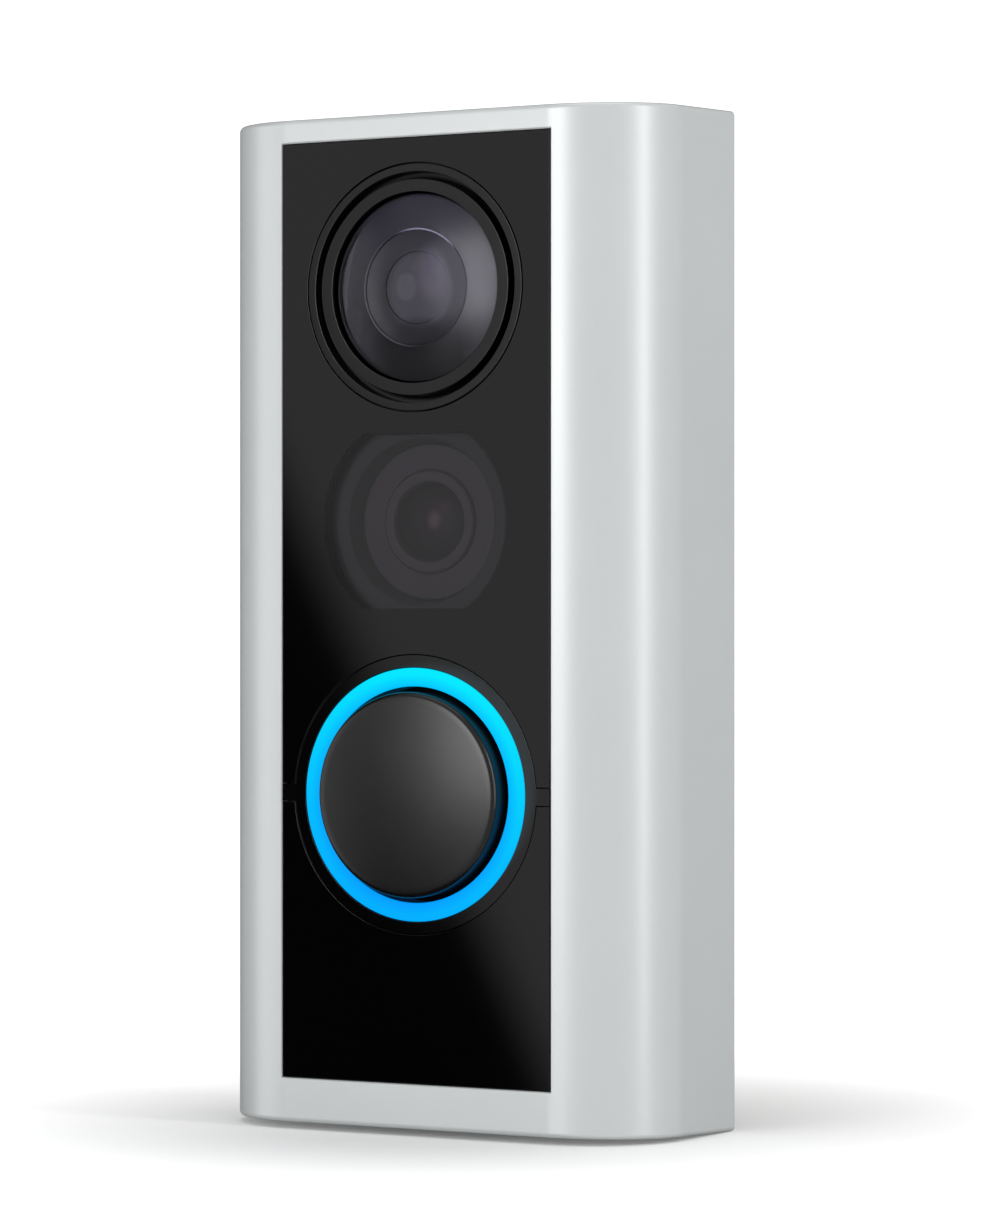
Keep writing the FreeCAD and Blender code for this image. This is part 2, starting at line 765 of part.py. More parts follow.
def make_camera():
    z = camera_z
    front = panel_back + 0.05
    bore = size["shroud_bore"]
    shroud = cut(shroud_outline(0, front, camera_seat), cone(bore, bore - 0.4, front, camera_seat, 0, z))
    keep("camera_shroud", shroud)
    gap = size["clearance"]
    barrel = size["camera_barrel_radius"]
    pipe_front = depth(size["diffuser_depth"])
    holder_front = board_front - 1.7
    inner, outer = barrel + gap, size["diffuser_radius"]
    pipe = tube("infrared_light_pipe", inner, outer, pipe_front, holder_front, 0, z)
    keep("infrared_light_pipe", pipe)
    y0 = depth(size["camera_barrel_depth"])
    lens = size["camera_lens_radius"]
    outline = [
        (lens + 0.15, y0),
        (barrel - 0.15, y0),
        (barrel, y0 + 0.15),
        (barrel, holder_front),
        (lens - 0.8, holder_front),
        (lens - 0.8, y0 + 2.0),
        (lens, y0 + 2.0),
        (lens, y0 + 0.3),
    ]
    keep("camera_lens_barrel", turned("camera_lens_barrel", outline, 0, z))
    glass_y = y0 + 0.45
    dome = spherical_cap(glass_y, glass_y + 0.9, lens - 0.05, z)
    keep("camera_front_lens", common(rod(lens - 0.05, glass_y - 1, y0 + 2.0, 0, z), dome))
    keep("camera_rear_lens", rod(lens - 0.85, y0 + 2.0, y0 + 3.2, 0, z))
    holder = cut(
        block(-5.6, 5.6, holder_front, board_front, z - 5.6, z + 5.6),
        block(-4.3, 4.3, holder_front + 0.6, board_front + 1, z - 4.3, z + 4.3),
        rod(lens - 0.8, holder_front - 1, board_front, 0, z),
    )
    keep("camera_holder", holder)
    keep("image_sensor", block(-3.4, 3.4, board_front - 0.8, board_front, z - 2.9, z + 2.9))
    leds = []
    for dx, dz in ((6.6, 0), (0, 6.6), (-6.6, 0), (0, -6.6)):
        leds.append(block(dx - 0.8, dx + 0.8, board_front - 1.2, board_front, z + dz - 0.8, z + dz + 0.8))
    keep("infrared_leds", fuse(*leds))


make_camera()


# ---- button, light ring and switch ----


def make_surround():
    """Black ring round the light ring, dished towards it, with an arm to each side."""
    outer, inner = surround_radius, light_radius + 0.06
    y0 = panel_front
    dish = 0.3
    outline = [
        (outer, y0),
        (outer, surround_back),
        (inner, surround_back),
        (inner, y0 + dish),
        (inner + 0.25, y0 + dish),
        (outer - 0.55, y0 + dish * 0.55),
        (outer - 0.25, y0 + dish * 0.12),
    ]
    ring = turned("surround_ring", outline, 0, button_z)
    left, right, _, _ = panel_edges()
    half = size["arm_height"] / 2
    arms = cut(
        block(left, right, y0, panel_back, button_z - half, button_z + half),
        rod(outer - 0.3, y0 - 1, panel_back + 1, 0, button_z),
    )
    keep("button_surround", fuse(ring, arms))


def make_light_ring():
    """Light pipe: its flat front shows, and a step behind it keeps the cap in."""
    step = depth(size["cap_stop_depth"])
    foot = surround_back
    back = board_front - 0.9
    bevel = 0.12
    outer, inner = light_radius, light_bore
    wide = flange_radius + 0.2
    outline = [
        (inner + bevel, front_y),
        (outer - bevel, front_y),
        (outer, front_y + bevel),
        (outer, foot),
        (surround_radius, foot),
        (surround_radius, foot + 0.8),
        (outer, foot + 0.8),
        (outer, back),
        (wide, back),
        (wide, step),
        (inner, step),
        (inner, front_y + bevel),
    ]
    keep("light_ring", turned("light_ring", outline, 0, button_z))
    ring_radius = (outer + wide) / 2
    leds = []
    for index in range(8):
        angle = math.radians(22.5 + 45 * index)
        x, dz = ring_radius * math.cos(angle), ring_radius * math.sin(angle)
        led = block(-0.6, 0.6, board_front - 0.75, board_front, -0.5, 0.5)
        place(led, x - 0.6, board_front - 0.75, button_z + dz - 0.5)
        leds.append(led)
    keep("ring_leds", fuse(*leds))


def make_cap():
    """Crowned cap: a cup with a flange that the light ring's step holds back."""
    radius, flange = cap_radius, flange_radius
    rim = -size["cap_proud"]
    step = size["cap_stop_depth"] + 0.07
    skirt_end = step + 0.75
    floor = Size.of(0.1)
    post_end = size["nub_depth"] - 0.05
    outline = [
        (0, depth(rim) - 2),
        (radius, depth(rim) - 2),
        (radius, depth(step)),
        (flange, depth(step)),
        (flange, depth(skirt_end)),
        (radius - 1.3, depth(skirt_end)),
        (radius - 1.3, depth(floor)),
        (1.6, depth(floor)),
        (1.6, depth(post_end)),
        (0, depth(post_end)),
    ]
    blank = turned("cap_blank", outline, 0, button_z)
    crown = size["cap_crown"]
    ball_radius = (radius * radius + crown * crown) / (2 * crown)
    ball = doc.addObject("Part::Sphere", "crown")
    bind(ball, Radius=ball_radius)
    place(ball, 0, depth(rim - crown) + ball_radius, button_z)
    crowned = common(blank, ball)
    doc.recompute()
    edges = [
        (i + 1, 0.45, 0.45)
        for i, edge in enumerate(crowned.Shape.Edges)
        if abs(edge.BoundBox.YMax - depth(rim).value) < 0.05
        and edge.BoundBox.XLength > 1.5 * radius.value
    ]
    rounded = doc.addObject("Part::Fillet", "cap_edge")
    rounded.Base = crowned
    rounded.Edges = edges
    keep("button_cap", rounded)


def make_switch():
    """Tactile switch under a silicone dome that the cap's post presses."""
    nub = depth(size["nub_depth"])
    wide = cap_radius * 0.63
    flange = cap_radius * 0.853
    plunger = depth(Size.of(5.0))
    case = depth(Size.of(5.7))
    outline = [
        (0, nub),
        (1.9, nub),
        (2.3, nub + 0.3),
        (wide - 0.9, nub + 0.6),
        (wide, nub + 1.6),
        (wide, board_front - 0.6),
        (flange, board_front - 0.6),
        (flange, board_front),
        (wide - 0.5, board_front),
        (wide - 0.5, nub + 1.9),
        (wide - 1.2, nub + 1.15),
        (2.2, nub + 0.9),
        (2.0, nub + 0.65),
        (0, nub + 0.65),
    ]
    keep("button_dome", turned("button_dome", outline, 0, button_z))
    keep("switch_plunger", rod(1.7, plunger, case + 0.5, 0, button_z))
    half = wide * 0.48
    body = cut(
        block(-half, half, case, board_front, button_z - half, button_z + half),
        rod(1.75, case - 1, case + 1.0, 0, button_z),
    )
    keep("switch_body", body)


make_surround()
make_light_ring()
make_cap()
make_switch()


# ---- circuit board and what it carries ----


def make_board():
    half = size["board_width"] / 2
    narrow = size["chassis_width"] / 2 - 0.4
    top, bottom = -size["board_top"], -size["board_bottom"]
    shoulder = -size["boss_low"] + 4.2
    body = new_body("main_board")
    sketch = new_sketch(body, "XZ_Plane", "board_outline")
    draw_polygon(
        sketch,
        [
            (-half, top),
            (-half, shoulder),
            (-narrow, shoulder),
            (-narrow, bottom),
            (narrow, bottom),
            (narrow, shoulder),
            (half, shoulder),
            (half, top),
        ],
    )
    pad = body.newObject("PartDesign::Pad", "board_pad")
    pad.Profile = sketch
    pad.Reversed = True
    bind(pad, Length=size["board_thickness"])
    place(body, 0, board_front, 0)
    doc.recompute()
    for index, (x, z) in enumerate(board_screw_places()):
        pocket_circle(body, f"board_hole_{index}", Size.of(0.9), x, z)
    keep("main_board", body)
    screws = []
    for x, z in board_screw_places():
        screws.append(rod(0.6, board_front - 3.5, board_back, x, z))
        screws.append(rod(1.5, board_back, board_back + 0.8, x, z))
    keep("board_screws", fuse(*screws))


def make_electronics():
    y = board_back
    can = cut(
        block(-9, 9, y, y + 1.8, -40, -24),
        block(-8.8, 8.8, y - 1, y + 1.6, -39.8, -24.2),
    )
    keep("shield_can", can)
    keep("processor_chip", block(-5.5, 5.5, y, y + 1.1, -37, -27))
    chips = [
        block(-16, -11.5, y, y + 0.9, -36, -28),
        block(11.5, 16, y, y + 1.0, -38, -31),
        block(11.8, 15.8, y, y + 0.8, -27, -23),
        block(-15.6, -12.2, y, y + 0.8, -47, -43),
    ]
    keep("board_chips", fuse(*chips))
    keep("knock_sensor", block(-1.5, 1.5, y, y + 1.0, -46.5, -43.5))
    socket = cut(
        block(-4.2, 4.2, y, y + 1.4, -21.5, -17.5),
        block(-2.75, 2.75, y + 0.5, y + 0.9, -20.5, -17.4),
    )
    keep("cable_socket", socket)


def make_tube_cable():
    """Flat cable from the board's socket, round the barrel's end and out along the tube."""
    thick = 0.2
    half = 2.5
    level = -(size["tube_bore"] - 1.25)
    turn_y = depth(Size.of(13.7))
    jog = -size["board_top"] - 1.5
    low = Size.of(-20.2)
    socket_y = board_back + 0.6
    body = new_body("tube_cable")
    sketch = new_sketch(body, "YZ_Plane", "cable_path")
    end = size["tube_reach"] - 4
    draw_polygon(
        sketch,
        [
            (end, level),
            (turn_y - thick, level),
            (turn_y - thick, jog),
            (socket_y, jog),
            (socket_y, low),
            (socket_y + thick, low),
            (socket_y + thick, jog - thick),
            (turn_y, jog - thick),
            (turn_y, level - thick),
            (end, level - thick),
        ],
    )
    pad = body.newObject("PartDesign::Pad", "cable_pad")
    pad.Profile = sketch
    pad.Midplane = True
    bind(pad, Length=2 * half)
    doc.recompute()
    keep("tube_cable", body)
    plug = block(-2.9, 2.9, end, end + 3.0, level - 0.35, level + 0.65)
    keep("cable_connector", plug)


def make_motion_sensor():
    z = pir_z
    back = panel_back + 0.02
    wide, high = size["pir_half_width"], size["pir_half_height"]
    sheet = block(-wide, wide, back + 0.3, panel_back + size["pir_sheet_back"], z - high, z + high)
    discs, hollows = [], []
    for row in (-1, 0, 1):
        for column in (-2, -1, 0, 1, 2):
            discs.append(rod(1.5, back, back + 0.4, column * 4.2, z + row * 3.5))
            hollows.append(rod(0.9, back - 1, back + 0.25, column * 4.2, z + row * 3.5))
    keep("motion_lens", cut(fuse(sheet, *discs), *hollows))
    can_front = board_front - 4.4
    outline = [
        (1.7, can_front),
        (4.1, can_front),
        (4.1, board_front - 0.5),
        (4.6, board_front - 0.5),
        (4.6, board_front),
        (1.7, board_front),
    ]
    can = cut(
        turned("can_blank", outline, 0, z),
        block(-2.0, 2.0, can_front - 1, can_front + 0.45, z - 1.5, z + 1.5),
    )
    keep("motion_sensor_can", can)
    pane = block(-1.95, 1.95, can_front + 0.05, can_front + 0.45, z - 1.45, z + 1.45)
    keep("motion_sensor_filter", pane)
    keep("motion_sensor_header", rod(1.65, can_front + 0.5, board_front, 0, z))


def floor_at(y):
    """Height of the shell's inner floor at a y."""
    _, _, bottom = inside_of_shell(size["side_wall"], size["end_wall"], y - front_y)
    return bottom + 0.02


def make_sound():
    y = board_back
    inside_bottom = rim_bottom + size["end_wall"]
    mic = block(mic_x - 2.0, mic_x + 2.0, y, y + 1.1, -76.4, -73.4)
    keep("microphone", mic)
    boot = cut(
        block(mic_x - 1.6, mic_x + 1.6, y + 1.1, y + 3.4, floor_at(y + 1.1), -72.8),
        upright(size["port_radius"], inside_bottom, Size.of(-74.5), mic_x, depth(size["mic_depth"])),
    )
    keep("microphone_boot", boot)
    left, right = speaker_x - 9.9, speaker_x + 9.9
    front, back = y, plate_front - 0.3
    low, high = inside_bottom + 1.0, Size.of(-56.5)
    box = cut(
        block(left, right, front, back, low, high),
        block(left + 0.8, right - 0.8, front + 0.8, back - 0.8, low - 1, high - 0.8),
    )
    keep("speaker_enclosure", box)
    cz = low + 11.5
    basket_y = front + 2.2
    basket = tube("speaker_basket", Size.of(5.2), Size.of(7.8), basket_y, basket_y + 0.9, speaker_x, cz)
    keep("speaker_basket", basket)
    cone_outline = [
        (0, basket_y + 0.3),
        (2.2, basket_y + 0.3),
        (5.0, basket_y - 0.25),
        (6.6, basket_y - 0.25),
        (6.6, basket_y),
        (5.1, basket_y),
        (2.3, basket_y + 0.55),
        (0, basket_y + 0.55),
    ]
    keep("speaker_cone", turned("speaker_cone", cone_outline, speaker_x, cz))
    keep("speaker_magnet", rod(5.5, basket_y + 0.9, back - 0.8, speaker_x, cz))
    y0, y1 = depth(size["slot_front"]), depth(size["slot_back"])
    wall = 0.7
    gasket = cut(
        block(left, right, y0 - wall, y1 + wall, floor_at(y0 - wall), low),
        block(left + 1.2, right - 1.2, y0, y1, inside_bottom - 1, low + 1),
    )
    keep("speaker_gasket", gasket)


make_board()
make_electronics()
make_tube_cable()
make_motion_sensor()
make_sound()


# ---- back plate, seals and screws ----


def make_back_plate():
    half, top, bottom = inside_of_shell(plate_wall, plate_wall, size["ledge_depth"])
    thickness = size["plate_back"] - size["plate_front"]
    plate = slab("plate_sheet", (-half, half, bottom, top), plate_front, thickness)
    round_edges(plate, "plate_corners", Size.of(1.0), lambda edge: runs_along(edge, Vector(0, 1, 0)))
    posts = [rod(size["boss_radius"], board_front, plate_front + 0.5, x, z) for x, z in case_screws]
    ribs = [
        block(-16.5, 16.5, plate_front - 1.2, plate_front + 0.3, -18.2, -17.2),
        block(-16.5, 16.5, plate_front - 1.2, plate_front + 0.3, -51.0, -50.0),
        block(-0.5, 0.5, plate_front - 1.2, plate_front + 0.3, -50.0, -18.2),
    ]
    gap = size["clearance"]
    tools = [rod(size["shoulder_radius"] + gap, plate_front - 1, plate_back + 1)]
    hole = size["screw_radius"] + gap
    tools += [rod(hole, board_front - 1, plate_back + 1, x, z) for x, z in case_screws]
    seat = plate_back - size["head_height"]
    tools += [rod(2.1, seat, plate_back + 1, x, z) for x, z in case_screws]
    side = size["pad_width"] / 2 + gap
    low, high = -size["pad_bottom"] - gap, gap - size["pad_top"]
    tools.append(block(-side, side, plate_back - size["pad_sink"], plate_back + 1, low, high))
    keep("back_plate", cut(fuse(plate, *posts, *ribs), *tools))
    keep("adhesive_pad", pad_with_corners())


def pad_with_corners():
    """Foam adhesive pad in the back plate's recess; its back face meets the door."""
    front = plate_back - size["pad_sink"]
    half = size["pad_width"] / 2
    pad = slab("adhesive_pad", (-half, half, -size["pad_bottom"], -size["pad_top"]), front, -front)
    round_edges(pad, "pad_corners", Size.of(2.0), lambda edge: runs_along(edge, Vector(0, 1, 0)))
    return pad


def make_rim_seal():
    half, top, bottom = inside_of_shell(plate_wall, plate_wall, size["ledge_depth"])
    width = 0.6
    y0, y1 = depth(size["ledge_depth"]), plate_front
    ring = cut(
        block(-half, half, y0, y1, bottom, top),
        block(-half + width, half - width, y0 - 1, y1 + 1, bottom + width, top - width),
    )
    keep("rim_seal", ring)


def make_case_screws():
    seat = plate_back - size["head_height"]
    screws = []
    for x, z in case_screws:
        head = rod(1.9, seat, plate_back - 0.15, x, z)
        shaft = rod(size["screw_radius"], depth(Size.of(3.9)), seat, x, z)
        drive = rod(0.9, plate_back - 0.75, plate_back + 1, x, z)
        screws.append(cut(fuse(head, shaft), drive))
    keep("case_screws", fuse(*screws))


make_back_plate()
make_rim_seal()
make_case_screws()


# ---- checks and export ----

doc.recompute()
for feature in doc.Objects:
    if "Invalid" in feature.State or "Error" in feature.State:
        raise RuntimeError(f"{feature.Label} ({feature.Name}) failed: {feature.State}")
os.makedirs("parts", exist_ok=True)
for feature in PARTS:
    shape = feature.Shape
    if shape.isNull() or not shape.isValid() or not shape.Solids:
        raise RuntimeError(f"{feature.Label} has no valid solid")
for feature in PARTS:
    feature.Shape.exportStep(f"parts/{feature.Label}.step")
print(len(PARTS), "pieces written")
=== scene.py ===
import math

import bmesh
import bpy
from mathutils import Matrix, Vector


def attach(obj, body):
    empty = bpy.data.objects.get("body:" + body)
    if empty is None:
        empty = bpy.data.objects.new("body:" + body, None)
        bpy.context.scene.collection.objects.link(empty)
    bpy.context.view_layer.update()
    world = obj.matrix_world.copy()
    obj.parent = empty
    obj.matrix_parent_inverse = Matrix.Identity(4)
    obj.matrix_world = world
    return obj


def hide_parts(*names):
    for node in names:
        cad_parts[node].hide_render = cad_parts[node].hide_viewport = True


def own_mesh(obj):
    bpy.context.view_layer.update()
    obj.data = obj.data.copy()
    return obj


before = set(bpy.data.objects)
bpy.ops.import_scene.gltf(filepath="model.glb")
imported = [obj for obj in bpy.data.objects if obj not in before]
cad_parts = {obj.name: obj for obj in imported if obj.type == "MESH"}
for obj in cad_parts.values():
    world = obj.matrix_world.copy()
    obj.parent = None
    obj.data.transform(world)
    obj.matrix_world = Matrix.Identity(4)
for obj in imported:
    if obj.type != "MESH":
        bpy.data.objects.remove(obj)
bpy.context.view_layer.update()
print("frame loaded,", len(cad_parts), "nodes")


# ways of making a mesh; shapes are drawn in millimetres and shrunk to metres at the end

def tone(red, green, blue):
    # screen colour, 0 to 255, as linear light
    return tuple(
        v / 3294.6 if v <= 10 else ((v / 255 + 0.055) / 1.055) ** 2.4 for v in (red, green, blue)
    ) + (1.0,)


def arcTo(bm, start, goal, bulge, steps=20):
    # an arc from a vertex to a point, bulging to the right of the way there
    a, b = start.co.copy(), Vector(goal)
    chord = (b - a).length
    radius = (chord * chord / 4 + bulge * bulge) / (2 * abs(bulge))
    side = (b - a).cross(Vector((0, 0, 1))).normalized() * math.copysign(1, bulge)
    centre = (a + b) / 2 - side * (radius - abs(bulge))
    angle = 2 * math.asin(min(1, chord / 2 / radius)) * math.copysign(1, bulge)
    made = bmesh.ops.spin(
        bm, geom=[start], cent=centre, axis=(0, 0, 1), angle=angle, steps=steps, use_duplicate=False
    )
    return next(g for g in made["geom_last"] if isinstance(g, bmesh.types.BMVert))


def domeBulge(radius, rise):
    # bulge of the arc that makes a round dome between the axis and its rim
    ball = (radius * radius + rise * rise) / (2 * rise)
    return ball - math.sqrt(ball * ball - (radius * radius + rise * rise) / 4)


def turnedShape(points, steps=96, closed=True, z=0):
    # a profile of (radius, y, rounding, bulge) turned about the y axis
    bm = bmesh.new()
    first = last = None
    rounded = []
    for point in points:
        radius, y, rounding, bulge = (tuple(point) + (0, 0))[:4]
        if last is None:
            vert = first = bm.verts.new((radius, y, 0))
        elif bulge:
            vert = arcTo(bm, last, (radius, y, 0), bulge)
        else:
            vert = bm.verts.new((radius, y, 0))
            bm.edges.new((last, vert))
        if rounding:
            rounded.append((vert.co.copy(), rounding))
        last = vert
    if closed:
        bm.edges.new((last, first))
    for place, rounding in rounded:
        corner = min(bm.verts, key=lambda v: (v.co - place).length)
        bmesh.ops.bevel(
            bm, geom=[corner], offset=rounding, offset_type="OFFSET", segments=4,
            profile=0.5, affect="VERTICES", material=-1,
        )
    bmesh.ops.spin(
        bm, geom=bm.verts[:] + bm.edges[:], cent=(0, 0, 0), axis=(0, 1, 0),
        angle=2 * math.pi, steps=steps, use_merge=True,
    )
    bmesh.ops.remove_doubles(bm, verts=bm.verts, dist=0.0005)
    bmesh.ops.recalc_face_normals(bm, faces=bm.faces)
    bmesh.ops.translate(bm, vec=(0, 0, z), verts=bm.verts)
    return bm


def blockShape(x0, x1, y0, y1, z0, z1):
    bm = bmesh.new()
    bmesh.ops.create_cube(bm, size=1)
    bmesh.ops.scale(bm, vec=(x1 - x0, y1 - y0, z1 - z0), verts=bm.verts)
    bmesh.ops.translate(bm, vec=((x0 + x1) / 2, (y0 + y1) / 2, (z0 + z1) / 2), verts=bm.verts)
    return bm


def rodShape(radius, y0, y1, z=0, steps=96):
    bm = bmesh.new()
    bmesh.ops.create_cone(
        bm, cap_ends=True, segments=steps, radius1=radius, radius2=radius, depth=y1 - y0
    )
    bmesh.ops.rotate(bm, cent=(0, 0, 0), matrix=Matrix.Rotation(math.pi / 2, 3, "X"), verts=bm.verts)
    bmesh.ops.translate(bm, vec=(0, (y0 + y1) / 2, z), verts=bm.verts)
    return bm


def roundEdges(bm, wanted, offset, segments):
    picked = [e for e in bm.edges if wanted(e)]
    bmesh.ops.bevel(
        bm, geom=picked, offset=offset, offset_type="OFFSET", segments=segments,
        profile=0.5, affect="EDGES", material=-1,
    )


def alongAxis(edge, axis):
    way = (edge.verts[1].co - edge.verts[0].co).normalized()
    return abs(way[axis]) > 0.995


def joined(*shapes):
    bm = bmesh.new()
    for shape in shapes:
        mesh = bpy.data.meshes.new("part")
        shape.to_mesh(mesh)
        bm.from_mesh(mesh)
        bpy.data.meshes.remove(mesh)
        shape.free()
    return bm


def carved(base, tool, operation="DIFFERENCE"):
    # one shape cut by, or joined to, another with the exact Boolean
    things = []
    for shape in (base, tool):
        mesh = bpy.data.meshes.new("carving")
        shape.to_mesh(mesh)
        shape.free()
        thing = bpy.data.objects.new("carving", mesh)
        bpy.context.scene.collection.objects.link(thing)
        things.append(thing)
    step = things[0].modifiers.new("carve", "BOOLEAN")
    step.operation, step.object, step.solver = operation, things[1], "EXACT"
    graph = bpy.context.evaluated_depsgraph_get()
    mesh = bpy.data.meshes.new_from_object(things[0].evaluated_get(graph))
    bm = bmesh.new()
    bm.from_mesh(mesh)
    bpy.data.meshes.remove(mesh)
    for thing in things:
        old = thing.data
        bpy.data.objects.remove(thing)
        bpy.data.meshes.remove(old)
    bmesh.ops.remove_doubles(bm, verts=bm.verts, dist=0.0005)
    return bm


def leanNormals(bm, limit):
    # smooth corners lean to the larger faces round them, so that flat faces look flat
    bm.normal_update()
    normals = []
    for vert in bm.verts:
        total = Vector()
        if all(edge.calc_face_angle(0) < limit for edge in vert.link_edges):
            for face in vert.link_faces:
                total += face.normal * face.calc_area()
        normals.append(total.normalized())
    return normals


def finishPiece(name, bm, material, nodes, body="housing", edge=0, sharp=32):
    normals = leanNormals(bm, math.radians(sharp))
    bmesh.ops.scale(bm, vec=(0.001, 0.001, 0.001), verts=bm.verts)
    mesh = bpy.data.meshes.new(name)
    bm.to_mesh(mesh)
    bm.free()
    mesh.shade_smooth()
    mesh.set_sharp_from_angle(angle=math.radians(sharp))
    mesh.materials.append(material)
    piece = bpy.data.objects.new(name, mesh)
    bpy.context.scene.collection.objects.link(piece)
    if edge:
        soften = piece.modifiers.new("soften", "BEVEL")
        soften.width = edge * 0.001
        soften.segments = 2
        soften.limit_method = "ANGLE"
        soften.angle_limit = math.radians(sharp)
        soften.miter_outer = "MITER_ARC"
        soften.use_clamp_overlap = True
        even = piece.modifiers.new("even", "WEIGHTED_NORMAL")
        even.keep_sharp = False
    else:
        mesh.normals_split_custom_set_from_vertices(normals)
    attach(piece, body)
    if nodes:
        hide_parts(*nodes)
    print("made", name)
    return piece


# finishes

def wire(tree, source, target):
    tree.links.new(source, target)


def makeFinish(name, look):
    # moulded, painted, turned or foamed surface; every value comes from the look
    material = bpy.data.materials.new(name)
    material.use_nodes = True
    tree = material.node_tree
    shader = tree.nodes["Principled BSDF"]
    shader.inputs["Metallic"].default_value = look.get("metallic", 0)
    shader.inputs["Coat Weight"].default_value = look.get("coat", 0)
    shader.inputs["Coat Roughness"].default_value = look.get("coatRough", 0.05)
    shader.inputs["IOR"].default_value = 1.5
    shader.inputs["Specular IOR Level"].default_value = look.get("specular", 0.5)
    place = tree.nodes.new("ShaderNodeTexCoord")
    stretch = tree.nodes.new("ShaderNodeMapping")
    stretch.inputs["Scale"].default_value = look.get("stretch", (1, 1, 1))
    wire(tree, place.outputs["Object"], stretch.inputs["Vector"])

    clouds = tree.nodes.new("ShaderNodeTexNoise")
    clouds.inputs["Scale"].default_value = look.get("patches", 90)
    clouds.inputs["Detail"].default_value = 4
    wire(tree, stretch.outputs["Vector"], clouds.inputs["Vector"])
    blend = tree.nodes.new("ShaderNodeMix")
    blend.data_type = "RGBA"
    blend.inputs["A"].default_value = look["colour"]
    blend.inputs["B"].default_value = look.get("second", look["colour"])
    wire(tree, clouds.outputs["Fac"], blend.inputs["Factor"])
    wire(tree, blend.outputs["Result"], shader.inputs["Base Color"])

    grain = tree.nodes.new("ShaderNodeTexNoise")
    if look.get("cells"):
        grain = tree.nodes.new("ShaderNodeTexVoronoi")
    grain.inputs["Scale"].default_value = look.get("grain", 6000)
    wire(tree, stretch.outputs["Vector"], grain.inputs["Vector"])
    height = grain.outputs["Distance" if look.get("cells") else "Fac"]
    gloss = tree.nodes.new("ShaderNodeMapRange")
    gloss.inputs["To Min"].default_value = look["rough"][0]
    gloss.inputs["To Max"].default_value = look["rough"][1]
    wire(tree, clouds.outputs["Fac"], gloss.inputs["Value"])
    wire(tree, gloss.outputs["Result"], shader.inputs["Roughness"])
    bump = tree.nodes.new("ShaderNodeBump")
    bump.inputs["Strength"].default_value = look.get("bump", 0.1)
    bump.inputs["Distance"].default_value = look.get("relief", 0.00002)
    wire(tree, height, bump.inputs["Height"])
    wire(tree, bump.outputs["Normal"], shader.inputs["Normal"])
    return material


def makeGlass(name, look):
    # thin coated glass: a tinted view through, and the room's reflection on it
    material = bpy.data.materials.new(name)
    material.use_nodes = True
    tree = material.node_tree
    tree.nodes.remove(tree.nodes["Principled BSDF"])
    end = tree.nodes["Material Output"]
    through = tree.nodes.new("ShaderNodeBsdfTransparent")
    mirror = tree.nodes.new("ShaderNodeBsdfGlossy")
    mirror.inputs["Color"].default_value = look["coating"]
    place = tree.nodes.new("ShaderNodeTexCoord")
    haze = tree.nodes.new("ShaderNodeTexNoise")
    haze.inputs["Scale"].default_value = look.get("patches", 260)
    wire(tree, place.outputs["Object"], haze.inputs["Vector"])
    gloss = tree.nodes.new("ShaderNodeMapRange")
    gloss.inputs["To Min"].default_value = look["rough"][0]
    gloss.inputs["To Max"].default_value = look["rough"][1]
    wire(tree, haze.outputs["Fac"], gloss.inputs["Value"])
    wire(tree, gloss.outputs["Result"], mirror.inputs["Roughness"])
    tint = tree.nodes.new("ShaderNodeMix")
    tint.data_type = "RGBA"
    tint.inputs["A"].default_value = look["tint"]
    tint.inputs["B"].default_value = look["second"]
    wire(tree, haze.outputs["Fac"], tint.inputs["Factor"])
    wire(tree, tint.outputs["Result"], through.inputs["Color"])
    angle = tree.nodes.new("ShaderNodeFresnel")
    angle.inputs["IOR"].default_value = look["ior"]
    mix = tree.nodes.new("ShaderNodeMixShader")
    wire(tree, angle.outputs["Fac"], mix.inputs["Fac"])
    wire(tree, through.outputs["BSDF"], mix.inputs[1])
    wire(tree, mirror.outputs["BSDF"], mix.inputs[2])
    wire(tree, mix.outputs["Shader"], end.inputs["Surface"])
    return material


# camera and the room

cameraLook = {"at": (0.2235, -0.39687, -0.0324), "turn": 29.59, "lens": 134.1, "shiftUp": 0.0087}

eye = bpy.data.objects.new("eye", bpy.data.cameras.new("eye"))
eye.data.lens = cameraLook["lens"]
eye.data.sensor_width = 36
eye.data.shift_y = cameraLook["shiftUp"]
eye.data.clip_start = 0.01
eye.location = cameraLook["at"]
eye.rotation_euler = (math.radians(90), 0, math.radians(cameraLook["turn"]))
bpy.context.scene.collection.objects.link(eye)
bpy.context.scene.camera = eye
bpy.context.scene.view_settings.view_transform = "Standard"

roomLook = {
    "floor": -0.0812,
    "wide": 1.6,
    "near": 1.2,
    "far": 1.4,
    "glow": 0.6,
    "spill": 0.15,
    "paintedShadowGlow": 0.08,
    "glowStart": 0.0825,
    "glowFull": 0.110,
    "aim": (0, 0, -0.03),
    "dark": 0.012,
    "bright": 0.62,
    "side": (0.779, -0.470, 0.415),
    "edge": (-0.0140, 0.002),
}


